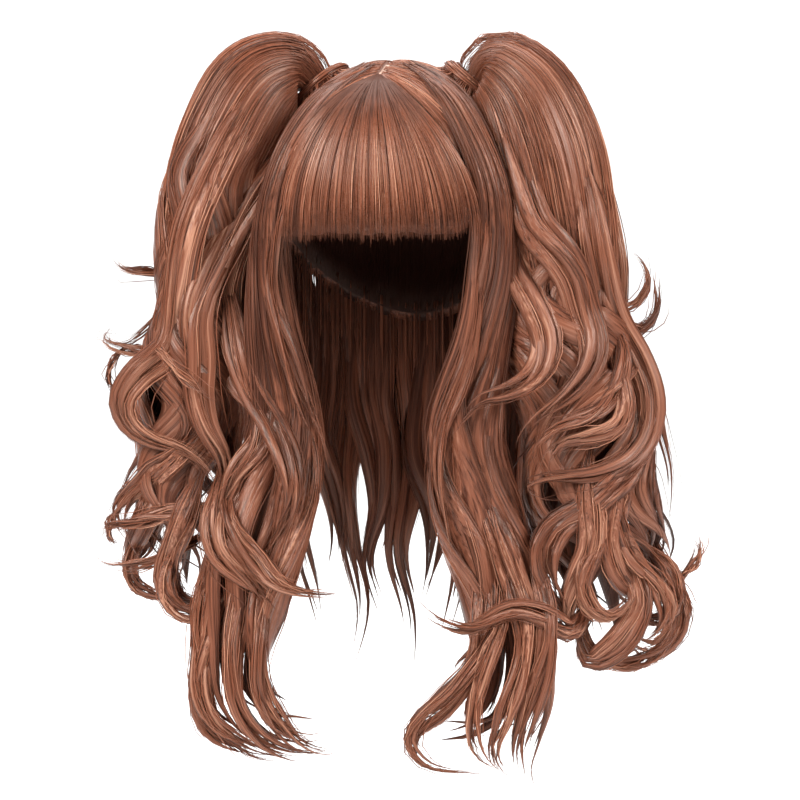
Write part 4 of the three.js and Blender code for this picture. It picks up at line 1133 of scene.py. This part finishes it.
def hair_material(name, look, loose, depth=0.0):
    """Streaked glossy hair. loose is for separate strands, and depth darkens the hair under them with painted
    shade.
    """
    graph = Graph(name)
    u, v, _ = graph.split(graph.node("ShaderNodeUVMap", {"uv_map": "strand"}))
    shade = graph.node("ShaderNodeAttribute", {"attribute_name": "shade"}, output=2)
    broad = graph.noise(graph.vector(u * 260, v * 5, shade * 9)) - 0.5
    fine = graph.noise(graph.vector(u * 1300, v * 9, shade * 31), detail=3.0) - 0.5
    if loose:
        tone = shade * 0.9 + broad * 0.8 + 0.05
    else:
        tone = shade * 0.65 + broad * 1.1 + fine * 1.6 + 0.15
    tone = tone.clamp()
    low = graph.mix(tone.ease(0.0, 0.5), look.dark, look.middle)
    colour = graph.mix(tone.ease(0.5, 1.0), low, look.light)
    # Painted shade: where shade is near 0, and by a depth share everywhere, the colour goes to the under
    # colour, with more roughness and less coat
    if not loose:
        inside = 1.0 - shade.ease(0.0, 0.07) * (1 - depth)
        colour = graph.mix(inside, colour, look.under)
    values = {
        "Base_Color": colour, "Roughness": look.roughness + 0.3 * fine,
        "Specular_IOR_Level": 0.45, "Specular_Tint": (1.0, 0.84, 0.72, 1.0), "Coat_Roughness": 0.3,
    }
    if loose:
        values["Roughness"] = values["Roughness"] + (1.0 - shade.ease(0.0, 0.35)) * 0.3
    else:
        values["Roughness"] = values["Roughness"] + inside * 0.15
        values["Coat_Weight"] = 0.14 - inside * 0.14
        hairs = graph.noise(graph.vector(u * 3000, v * 8, shade * 13), detail=1.0)
        values["Normal"] = graph.node(
            "ShaderNodeBump", {}, {"Strength": 1.0, "Distance": 0.0008, "Height": fine + hairs * 0.5}
        )
    return graph.finish(**values)


def plain_material(name, colour, roughness, grain=0.0, scale=900.0):
    """A plain surface with a fine grain."""
    graph = Graph(name)
    where = graph.node("ShaderNodeTexCoord", output=3)
    speck = graph.noise(where, scale)
    values = {"Base_Color": graph.mix(speck * grain, colour, [c * 0.6 for c in colour])}
    values["Roughness"] = speck * 0.1 + (roughness - 0.05)
    return graph.finish(**values)


def material(name, make, *values):
    """The material of that name, made once."""
    return bpy.data.materials.get(name) or make(name, *values)


def show(mesh, finish, node=None):
    """Puts a mesh in the scene as a piece of the wig, in the place of a node of the frame if it has one."""
    piece = bpy.data.objects.new(mesh.name, mesh)
    bpy.context.scene.collection.objects.link(piece)
    mesh.materials.append(finish)
    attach(piece, "root")
    if node:
        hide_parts(node)
    return piece


def locks_finish(look):
    return material("hair_locks", hair_material, look, False, 0.2)


def strands_finish(look):
    return material("hair_strands", hair_material, look, True)


def start(context, number):
    """The seeded numbers and the loose strands of one piece."""
    look = context.scene.wig_look
    rng = np.random.default_rng(look.seed * 100 + number)
    return rng, Strands(rng, look.strand_width)


class Crown:
    """Hair that runs from the parting round and down to the crown's edge."""

    FAN = math.radians(60)  # how much of the turn the parting's two ends take, each way

    def __init__(self, context):
        self.head = Head(context)
        self.sizes = context.scene.wig_head

    def at(self, turn, fall, lift):
        """Points at turn round the head from its front, fall from the parting at 0 to the edge at 1."""
        head, sizes = self.head, self.sizes
        turn, fall = np.broadcast_arrays(np.asarray(turn, float), fall)
        radii = head.radii + np.multiply.outer(lift, np.ones(3))
        share = np.clip((np.abs(turn) - self.FAN) / (math.pi - 2 * self.FAN), 0, 1)
        y = blend(-sizes.parting_front, sizes.parting_back, share) / (head.radii[1] + head.wall)
        begin = np.stack([np.zeros_like(y), y, np.sqrt(1 - y**2)], axis=-1)
        level = np.stack([np.sin(turn), -np.cos(turn), np.zeros_like(turn)], axis=-1)
        between = np.arccos(np.clip(np.sum(begin * level, -1), -1, 1))
        # The quarter turn down to the widest level, then straight down to the edge
        slope = (sizes.nape_drop - sizes.hairline_drop) / (sizes.depth * sizes.rim_reach)
        halfway = -(sizes.hairline_drop + sizes.nape_drop) / 2
        edge = halfway - slope * (head.radii[1] + head.wall) * level[..., 1]
        above = np.arcsin(np.clip((edge - head.middle[2]) / (head.radii[2] + head.wall), -1, 1))
        total = np.where(above > 0, between * (1 - above / (math.pi / 2)), between - above)
        angle = fall * total
        arc = np.minimum(angle, between)
        s = np.sin(between)
        ball = (begin * np.sin(between - arc)[..., None] + level * np.sin(arc)[..., None]) / s[..., None]
        below = np.maximum(angle - between, 0)
        down = np.stack([np.zeros_like(below)] * 2 + [-np.sin(below)], axis=-1)
        ball = ball * np.where(below > 0, np.cos(below), 1)[..., None] + down
        return head.middle + ball * radii

    def groove(self, points):
        """How deep the parting is cut at these points."""
        sizes = self.sizes
        half = sizes.parting_width / 2
        aside = 1 - ease(np.abs(points[..., 0]), half * 0.9, half * 1.7)
        ahead = ease(points[..., 1], -sizes.parting_front - half, -sizes.parting_front)
        behind = 1 - ease(points[..., 1], sizes.parting_back, sizes.parting_back + half)
        return sizes.parting_depth * aside * ahead * behind * (points[..., 2] > -sizes.rise)


class WIG_OT_crown(bpy.types.Operator):
    """Builds the hair that lies on the head, with the hollow under it"""

    bl_idname = "wig.crown"
    bl_label = "Crown"

    def execute(self, context):
        look, sizes = context.scene.wig_look, context.scene.wig_head
        rng, strands = start(context, 1)
        crown = Crown(context)
        head = crown.head
        patches = Patches()

        def turn(u):
            return 2 * math.pi * (u - 0.5)

        def outer(u, v):
            at = crown.at(turn(u), v**1.5, np.full(len(u), head.wall))
            return at - head.off(at) * crown.groove(at)[:, None]

        def inner(u, v):
            return crown.at(turn(u), v**1.5, np.zeros(len(u)))

        def rim(u, v):
            return blend(inner(u, np.ones_like(u)), outer(u, np.ones_like(u)), v[:, None])

        around = math.pi * (sizes.width + sizes.depth) / 2
        patches.add(outer, CROWN_COLUMNS, 30, (around, 0.2), 0.45)
        # The inner side and the rim take the under colour, painted shade
        patches.add(inner, CROWN_COLUMNS, 12, (around, 0.2), 0.0)
        patches.add(rim, CROWN_COLUMNS, 1, (around, head.wall), 0.0)
        show(patches.mesh("crown_hair"), locks_finish(look), "crown")

        count = sizes.strands
        turns = rng.uniform(-math.pi, math.pi, count)
        begin = np.where(rng.random(count) < 0.6, 0.0, rng.uniform(0, 0.5, count))
        stop = np.clip(begin + rng.uniform(0.5, 1.0, count), 0.5, 1.0)
        t = begin[:, None] + (stop - begin)[:, None] * np.linspace(0, 1, LYING_POINTS)
        sway = rng.normal(0, 0.05, (count, 1)) * np.sin(4 * t + rng.uniform(0, 6, (count, 1)))
        lift = head.wall + rng.uniform(0.0, 0.0012, (count, 1)) * ease(t, 0, 0.15) + 0.0001
        at = crown.at(turns[:, None] + sway, np.maximum(t**1.3, 0.015), lift)
        # Painted shade: each strand is darker towards its root
        tones = np.clip(rng.normal(0.5, 0.2, (count, 1)), 0, 1) * blend(0.45, 1, ease(t, 0, 0.3))
        strands.add(at, head.off(at), tones)

        # Short hair that hangs from the edge at the nape, kept dark as painted shade
        count = NAPE_STRANDS
        turns = math.pi * (1 + rng.uniform(-0.55, 0.55, (count, 1)))
        turns = np.where(turns > math.pi, turns - 2 * math.pi, turns)
        t = np.linspace(0, 1, NAPE_POINTS)
        lift = np.repeat(rng.uniform(0, head.wall, (count, 1)), NAPE_POINTS, 1)
        hem = crown.at(np.repeat(turns, NAPE_POINTS, 1), 1.0, lift)
        hem[..., 2] += 0.008 - t * rng.uniform(0.03, 0.07, (count, 1))
        strands.add(hem, head.off(hem), rng.uniform(0, 0.25, count), 1.6)
        for side in (-1, 1):
            gather(context, rng, strands, head, side)
        show(strands.mesh("crown_strands"), strands_finish(look))
        return {"FINISHED"}


def tie_seat(context, head, side):
    """The middle of a tie and the way that it faces."""
    tails = context.scene.wig_tails
    rx, _, rz = head.radii + head.wall
    at = head.on_crown(side * tails.tie_out, 0.0)
    normal = unit(np.array([side * tails.tie_out / rx**2, 0, (at[2] - head.middle[2]) / rz**2]))
    return at + normal * tails.tie_seat * tails.tie_cord, normal


def gather(context, rng, strands, head, side):
    """Hair drawn up from the crown into a tie."""
    tails, count = context.scene.wig_tails, GATHERED_STRANDS
    middle, normal = tie_seat(context, head, side)
    ahead = np.array([0, -1.0, 0])
    across = np.cross(normal, ahead)
    angle = rng.uniform(0, 2 * math.pi, (count, 1))
    far = rng.uniform(1.6, 2.9, (count, 1)) * tails.tie_radius
    t = np.linspace(0, 1, GATHERED_POINTS)
    out = blend(far, tails.tie_radius * 0.9, ease(t, 0, 1))
    wander = angle + rng.normal(0, 0.15, (count, 1)) * t
    flat = middle + (
        np.cos(wander)[..., None] * across + np.sin(wander)[..., None] * ahead
    ) * out[..., None]
    lying = head.on_crown(flat[..., 0], flat[..., 1], 0.0007)
    raised = flat + normal * tails.tie_cord * 1.3
    up = ease(t, 0.5, 1)[:, None]
    at = blend(lying, raised, up)
    strands.add(at, np.broadcast_to(normal, at.shape), np.clip(rng.normal(0.4, 0.2, count), 0, 1))


class WIG_OT_parting(bpy.types.Operator):
    """Finishes the strip that shows at the bottom of the parting"""

    bl_idname = "wig.parting"
    bl_label = "Parting strip"

    def execute(self, context):
        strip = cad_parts["parting_strip"]
        skin = context.scene.wig_look.skin
        strip.data.materials.clear()
        strip.data.materials.append(material("parting_skin", plain_material, list(skin), 0.65, 0.4))
        return {"FINISHED"}


class WIG_OT_fringe(bpy.types.Operator):
    """Builds the straight-cut fringe that fans out from the whorl"""

    bl_idname = "wig.fringe"
    bl_label = "Fringe"

    def execute(self, context):
        look, sizes = context.scene.wig_look, context.scene.wig_head
        rng, strands = start(context, 2)
        head = Head(context)
        top = head.on_crown(0.0, -sizes.parting_front)[2]

        def at(across, t, lift, drop):
            x = across * sizes.fringe_half_width * np.sin(math.pi / 2 * np.clip(t, 0, 1) ** 0.8)
            z = blend(top, -sizes.fringe_drop * drop, t)
            level = np.maximum(z - head.middle[2], 0) / (head.radii[2] + lift)
            round_about = np.sqrt(np.maximum(0.05, 1 - (x / (head.radii[0] + lift)) ** 2 - level**2))
            return np.stack([x, -(head.radii[1] + lift) * round_about, z], axis=-1)

        def drop(across):
            corner = 0.04 * ease(np.abs(across), 0.75, 1.1)
            return 1 - corner + 0.006 * np.sin(9 * across + 1) + 0.005 * np.sin(23 * across)

        half = sizes.fringe_thickness / 2
        base = head.wall + 0.0009

        def height(t):
            """The fringe over its under side: flat at the whorl, then thick, then thin at the cut edge."""
            return 2 * half * (1 - 0.5 * t) * np.sqrt(ease(t, -0.02, 0.3))

        def skin(over):
            def place(u, v):
                across = 2.2 * (u - 0.5)
                bulge = np.sqrt(np.maximum(0, 1 - (2 * u - 1) ** 8)) * (1 - ease(v, 0.9, 1.0))
                return at(across, v, base + over * height(v) * bulge, drop(across) - 0.025)
            return place

        # Painted shade: the fringe's skin is dark at the whorl, middling in the middle and darker again
        # towards the cut edge
        def shade(u, v):
            return blend(0.03, 0.45, ease(v, 0.1, 0.6)) * blend(1, 0.3, ease(v, 0.78, 0.95))

        patches = Patches()
        patches.add(skin(0.95), *FRINGE_GRID, (0.13, 0.15), shade)
        # The under side takes the under colour, painted shade
        patches.add(skin(0.0), *FRINGE_GRID, (0.13, 0.15), 0.0)
        show(patches.mesh("fringe_hair"), locks_finish(look), "fringe")

        count = sizes.fringe_strands
        across = rng.uniform(-1.12, 1.12, (count, 1))
        group = 0.022 * np.sin(46 * across + 2 + 2 * np.sin(9 * across))
        begin = np.where(rng.random(count) < 0.7, 0.0, rng.uniform(0, 0.4, count))
        t = begin[:, None] + (1 - begin)[:, None] * np.linspace(0, 1, LYING_POINTS)
        wander = across + group * t**2 + rng.normal(0, 0.012, (count, 1)) * t
        lift = base + height(t) + rng.uniform(-0.0006, 0.0010, (count, 1)) * ease(t, 0, 0.1)
        falls = drop(across) + rng.normal(-0.004, 0.014, (count, 1))
        points = at(wander, t, lift, falls)
        clump = 0.1 * np.sin(31 * across + 3 * np.sin(6 * across))
        # Painted shade: each strand is dark at its root and darker towards the cut edge
        tones = np.clip(rng.normal(0.5, 0.2, (count, 1)) + clump, 0, 1) * ease(t, 0.05, 0.6)
        strands.add(points, head.off(points), tones * blend(1, 0.55, ease(t, 0.65, 1)))
        show(strands.mesh("fringe_strands"), strands_finish(look))
        return {"FINISHED"}


def hang(
    context, name, flows, body, number, ways, count,
    curls=None, ribbons=0, dome=0, behind=(), tone=(0.25, 0.9), painted_shade=no_painted_shade,
):
    """Shows a head of hair: its body under flat locks and curls, and its main locks split in narrow ones."""
    look = context.scene.wig_look
    rng, strands = start(context, number)
    patches = Patches(painted_shade)
    strands.painted_shade = patches.painted_shade

    def lay(lock, tone, groove=0.03, lift=0.0, **cover):
        # Painted shade and light on each lock: its root takes a middling shade high on the head and a dark
        # one lower down, its side edges and under side are darker, and lift paints light towards its tip
        root = blend(0.1, 0.4, ease(lock.at[0, 2], -0.2, -0.1))

        def shade(u, v):
            along = blend(root, tone, ease(v, 0.12, 0.5)) + lift * ease(v, 0.5, 0.8)
            return along * blend(0.3, 1, ease(np.sin(2 * math.pi * u), -0.3, 0.8))

        patches.lock(lock, LOCK_SIDES, shade, groove, rng)
        strands.cover(lock, count, tone, lift, **cover)

    if body is not None:
        ends = pointed(body.t) * (1 - 0.62 * ease(body.t, 0.45, 0.82))
        # The body's skin is painted shade under the locks: middling on a dome and dark below it, or dark all
        # over where there is no dome
        deep = (lambda u, v: blend(0.45, 0.045, ease(v, 0.26, 0.46))) if dome else 0.08
        core = Flow(body.at, body.normal, body.wide * ends, body.thick * ends)
        patches.lock(core, BODY_SIDES, deep, 0.006, rng)
        if dome:
            strands.cover(body, dome, 0.5, edge=1.0, begin=(0.0, 0.2), stop=(0.3, 0.65), reach=(0.99, 1.02))
        # Ribbons keep a dark tone as painted shade, and take painted light towards their tips
        for ribbon in body.ribbons(rng, ribbons):
            lay(ribbon, rng.uniform(0.06, 0.25), 0.0, 0.35, stop=(0.8, 1.0))
        for curl in curls(body, rng):
            lay(curl, rng.uniform(0.15, 0.6))
    # Locks behind are painted dark as shade
    for flow in behind:
        for part in flow.split(rng, PARTS_BEHIND):
            patches.lock(part, LOCK_SIDES, 0.06, 0.03, rng)
            strands.cover(part, count // 2, 0.1)
    for flow in flows:
        slim = float(np.max(flow.wide)) < WISP
        loose = {"sway": 0.0006} if slim else {"swell": 0.002}
        for part in flow.split(rng, WISP_PARTS if slim else ways, **loose):
            part = part.sunk(0.006, 0.38)
            if slim:
                part.wide, part.thick = part.wide * 0.6, part.thick * 0.6
            lay(part, rng.uniform(*tone), reach=(0.7, 1.7) if slim else (0.9, 1.1))
    show(patches.mesh(name + "_locks"), locks_finish(look), name)
    show(strands.mesh(name + "_strands"), strands_finish(look))


Tail = namedtuple("Tail", "side body locks behind")
TAILS = {
    "right": Tail(-1, RIGHT_PIGTAIL_BODY, RIGHT_PIGTAIL_LOCKS, RIGHT_PIGTAIL_BEHIND),
    "left": Tail(1, LEFT_PIGTAIL_BODY, LEFT_PIGTAIL_LOCKS, LEFT_PIGTAIL_BEHIND),
}
SIDES = {
    "right": (RIGHT_HAIR_BODY, RIGHT_HAIR_LOCKS),
    "left": (LEFT_HAIR_BODY, LEFT_HAIR_LOCKS),
}


class WIG_OT_ties(bpy.types.Operator):
    """Builds the wound band round the root of each pigtail"""

    bl_idname = "wig.ties"
    bl_label = "Ties"

    def execute(self, context):
        look, tails = context.scene.wig_look, context.scene.wig_tails
        head = Head(context)
        for number, (word, tail) in enumerate(TAILS.items()):
            rng, strands = start(context, 30 + number)
            middle, normal = tie_seat(context, head, tail.side)
            ahead = np.array([0, -1.0, 0])
            across = np.cross(normal, ahead)
            patches = Patches()

            def place(u, v):
                angle, ring = 2 * math.pi * u, 2 * math.pi * v
                out = np.cos(ring)[:, None] * across + np.sin(ring)[:, None] * ahead
                section = tails.tie_cord * 0.8
                return middle + out * (tails.tie_radius + section * np.cos(angle)[:, None]) + (
                    normal * section * np.sin(angle)[:, None]
                )

            patches.add(place, *TIE_GRID, (0.03, 0.1), 0.2)
            show(patches.mesh(word + "_tie_band"), locks_finish(look), word + "_tie")

            count = TIE_STRANDS
            t = np.linspace(0, 1, TIE_POINTS)
            ring = 2 * math.pi * (rng.uniform(0, 1, (count, 1)) + t * rng.uniform(0.5, 0.95, (count, 1)))
            angle = rng.uniform(-0.3, math.pi + 0.3, (count, 1)) + rng.normal(0, 0.5, (count, 1)) * t
            out = np.cos(ring)[..., None] * across + np.sin(ring)[..., None] * ahead
            section = tails.tie_cord * rng.uniform(0.85, 1.05, (count, 1, 1))
            aside, up = np.cos(angle)[..., None], np.sin(angle)[..., None]
            at = middle + out * (tails.tie_radius + section * aside) + normal * section * up
            strands.add(at, out * aside + normal * up, np.clip(rng.normal(0.35, 0.2, count), 0, 1), 1.3)
            show(strands.mesh(word + "_tie_strands"), strands_finish(look))
        return {"FINISHED"}


class WIG_OT_pigtails(bpy.types.Operator):
    """Builds the two high wavy pigtails"""

    bl_idname = "wig.pigtails"
    bl_label = "Pigtails"

    def execute(self, context):
        tails = context.scene.wig_tails
        head = Head(context)
        for number, (word, tail) in enumerate(TAILS.items()):
            middle, _ = tie_seat(context, head, tail.side)

            def place(rows):
                across, down, front = np.array(rows).T[:3]
                points = head.from_view(
                    tail.side * across * tails.spread, front * tails.depth, -down * tails.fall
                )
                return head.clear(points + middle, head.wall)

            def follow(locks, body=None):
                return [
                    Flow.through(
                        head.lie(place(lock.path), body) if body else place(lock.path), head.to_view,
                        (lock.wide * tails.spread, lock.thick * tails.spread), LOCK_POINTS,
                    )
                    for lock in locks
                ]

            # Painted shade: pigtail hair near the face, which the long hair and the dome shade, goes down to
            # half its shade. Hair further out, low down or high up keeps its shade.
            def painted_shade_beside_face(points):
                z = points[..., 2]
                lit = np.maximum(ease(np.abs(points @ head.right), 0.06, 0.1), ease(-z, 0.22, 0.32))
                return blend(0.5, 1, np.maximum(lit, ease(z, -0.1, -0.03)))

            def curls(body, rng):
                return body.curls(rng, tails.curls, tails.swing, tails.waves, (0.02, 0.34), 0.2)

            sizes = np.array(tail.body)[:, 3:] * [tails.spread, tails.depth]
            main = Flow.through(place(tail.body), head.to_view, sizes, BODY_POINTS)
            hang(
                context, word + "_pigtail", follow(tail.locks, main), main, 10 + number,
                tails.ways, tails.strands, curls, dome=tails.dome_strands,
                behind=follow(tail.behind), painted_shade=painted_shade_beside_face,
            )
        return {"FINISHED"}


class WIG_OT_sides(bpy.types.Operator):
    """Builds the long hair at both sides, from the parting down over the shoulders"""

    bl_idname = "wig.sides"
    bl_label = "Side hair"

    def execute(self, context):
        fall = context.scene.wig_fall
        head = Head(context)
        for number, (word, (body, locks)) in enumerate(SIDES.items()):

            def place(rows, thick):
                across, down, front = np.array(rows).T[:3]
                points = head.from_view(across * fall.spread, front * fall.depth, -down * fall.fall)
                return head.clear(points, head.wall + fall.gap + thick)

            sizes = np.array(body)[:, 3:] * [fall.spread, fall.depth]
            main = Flow.through(place(body, sizes[:, 1]), head.facing, sizes, BODY_POINTS)
            flows = [
                Flow.through(
                    place(lock.path, lock.thick * fall.spread), head.facing,
                    (lock.wide * fall.spread, lock.thick * fall.spread), LOCK_POINTS,
                )
                for lock in locks
            ]
            thinner = main.thick * blend(0.3, 1, ease(main.t, 0, 0.25))
            main.at = main.at - main.normal * (main.thick - thinner + 0.001)[:, None]
            main.thick = thinner

            # Painted shade: the side hair beside the face, in the pigtails' shadow, goes down to 0.4 of its
            # shade. High up and low down it keeps its shade.
            def painted_shade_beside_face(points):
                z = points[..., 2]
                return blend(0.4, 1, np.maximum(ease(-z, 0.2, 0.33), ease(z, -0.13, -0.05)))

            def curls(body, rng):
                return body.curls(rng, fall.curls, fall.swing, fall.waves)

            hang(
                context, word + "_side_hair", flows, main, 20 + number,
                fall.ways, fall.strands, curls, ribbons=fall.ribbons,
                painted_shade=painted_shade_beside_face,
            )
        return {"FINISHED"}


class WIG_OT_back(bpy.types.Operator):
    """Builds the wavy hair that runs back over the crown and down the back"""

    bl_idname = "wig.back"
    bl_label = "Back hair"

    CROWN_POINTS = 4
    HANGING_POINTS = 8

    def execute(self, context):
        fall = context.scene.wig_fall
        head = Head(context)
        lift = head.wall + fall.back_thickness / 2 + fall.gap
        flows = []
        under = [
            BackLock((a.round + b.round) / 2, 0.85, 0.45 * (a.fall + b.fall), a.phase + 0.4)
            for a, b in zip(BACK_LOCKS, BACK_LOCKS[1:])
        ]
        for lock in [*BACK_LOCKS, *under]:
            out, behind, rise = head.radii + lift - (UNDER_DEPTH if lock in under else 0)
            turn = lock.round * fall.back_turn
            share = np.arange(self.CROWN_POINTS) / self.CROWN_POINTS
            angle = blend(lock.root, 1, share) * math.pi / 2
            lying = np.stack([
                out * math.sin(turn) * np.sin(angle),
                behind * math.cos(turn) * np.sin(angle),
                rise * np.cos(angle) + head.middle[2],
            ], axis=-1)
            t = np.linspace(0, 1, self.HANGING_POINTS)
            swing = fall.back_wave * t * np.sin(2 * math.pi * (fall.back_waves * t + lock.phase))
            angle = turn * (1 - fall.back_gather * t)
            hanging = np.stack([
                out * np.sin(angle) + swing * np.cos(angle),
                behind * np.cos(angle) - swing * np.sin(angle),
                blend(head.middle[2], -lock.fall * fall.back_fall, t),
            ], axis=-1)
            size = (fall.back_half_width, fall.back_thickness / 2)
            flows.append(Flow.through(np.vstack([lying, hanging]), head.off, size, LOCK_POINTS))
        count = len(BACK_LOCKS)
        main = [flow.sunk(0.004, 0.25) for flow in flows[:count]]
        # The back hair keeps darker tones as painted shade, and its under layer is painted dark as shade
        hang(
            context, "back_hair", main, None, 5, fall.ways, fall.strands,
            behind=flows[count:], tone=(0.1, 0.5),
        )
        return {"FINISHED"}


class WIG_OT_stage(bpy.types.Operator):
    """Sets the pale floor, the soft lights and the camera"""

    bl_idname = "wig.stage"
    bl_label = "Stage"

    def execute(self, context):
        scene, stage = context.scene, context.scene.wig_stage
        bm = bmesh.new()
        bmesh.ops.create_grid(bm, x_segments=1, y_segments=48, size=0.5)
        for vert in bm.verts:
            along = (vert.co.y + 0.5) * PAPER_LENGTH - PAPER_FRONT
            turn = min(max(along - PAPER_BACK, 0) / PAPER_BEND, math.pi / 2)
            past = max(along - PAPER_BACK - PAPER_BEND * math.pi / 2, 0)
            vert.co = (
                vert.co.x * PAPER_WIDTH,
                min(along, PAPER_BACK) + PAPER_BEND * math.sin(turn),
                PAPER_BEND * (1 - math.cos(turn)) + past - stage.floor_drop,
            )
        for face in bm.faces:
            face.smooth = True
        mesh = bpy.data.meshes.new("floor")
        bm.to_mesh(mesh)
        bm.free()
        floor = bpy.data.objects.new("floor", mesh)
        floor.rotation_euler.z = scene.wig_look.view_turn
        scene.collection.objects.link(floor)
        mesh.materials.append(material("paper", plain_material, [0.86, 0.86, 0.86], 0.9, 0.02, 40.0))

        turn = scene.wig_look.view_turn
        for name, (x, y, z), size, target in LIGHTS:
            lamp = bpy.data.lights.new(name, "AREA")
            lamp.energy, lamp.size = getattr(stage, name), size
            box = bpy.data.objects.new(name, lamp)
            box.location = (
                x * math.cos(turn) - y * math.sin(turn), x * math.sin(turn) + y * math.cos(turn), z,
            )
            aim = Vector(target) - box.location
            box.rotation_euler = aim.to_track_quat("-Z", "Y").to_euler()
            scene.collection.objects.link(box)

        world = bpy.data.worlds.new("studio")
        world.use_nodes = True
        background = world.node_tree.nodes["Background"]
        background.inputs["Color"].default_value = (1, 1, 1, 1)
        background.inputs["Strength"].default_value = stage.world
        scene.world = world
        scene.view_settings.view_transform = "Standard"

        camera = bpy.data.cameras.new("camera")
        camera.lens, camera.shift_x = stage.lens, stage.shift
        view = bpy.data.objects.new("camera", camera)
        view.location = (
            stage.camera_distance * math.sin(turn),
            -stage.camera_distance * math.cos(turn),
            -stage.camera_drop,
        )
        aim = Vector((0, 0, -stage.aim_drop)) - view.location
        view.rotation_euler = aim.to_track_quat("-Z", "Y").to_euler()
        scene.collection.objects.link(view)
        scene.camera = view
        return {"FINISHED"}


class WIG_PT_panel(bpy.types.Panel):
    """Settings of the wig, and a button for each piece"""

    bl_idname = "WIG_PT_panel"
    bl_label = "Wig"
    bl_space_type = "VIEW_3D"
    bl_region_type = "UI"
    bl_category = "Wig"

    def draw(self, context):
        for key, group in SETTINGS.items():
            box = self.layout.box()
            box.label(text=group.__doc__)
            for name in group.__annotations__:
                box.prop(getattr(context.scene, key), name)
        for operator in OPERATORS:
            self.layout.operator(operator.bl_idname)


SETTINGS = {
    "wig_head": WigHead,
    "wig_tails": WigTails,
    "wig_fall": WigFall,
    "wig_look": WigLook,
    "wig_stage": WigStage,
}
OPERATORS = [
    WIG_OT_stage, WIG_OT_crown, WIG_OT_parting, WIG_OT_fringe,
    WIG_OT_ties, WIG_OT_pigtails, WIG_OT_sides, WIG_OT_back,
]


def register():
    for key, group in SETTINGS.items():
        bpy.utils.register_class(group)
        setattr(bpy.types.Scene, key, bpy.props.PointerProperty(type=group))
    for kind in [*OPERATORS, WIG_PT_panel]:
        bpy.utils.register_class(kind)


def unregister():
    for kind in reversed([*OPERATORS, WIG_PT_panel]):
        bpy.utils.unregister_class(kind)
    for key, group in reversed(SETTINGS.items()):
        delattr(bpy.types.Scene, key)
        bpy.utils.unregister_class(group)


def main():
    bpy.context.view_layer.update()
    register()
    for operator in OPERATORS:
        area, name = operator.bl_idname.split(".")
        getattr(getattr(bpy.ops, area), name)()
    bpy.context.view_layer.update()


if __name__ == "__main__":
    main()
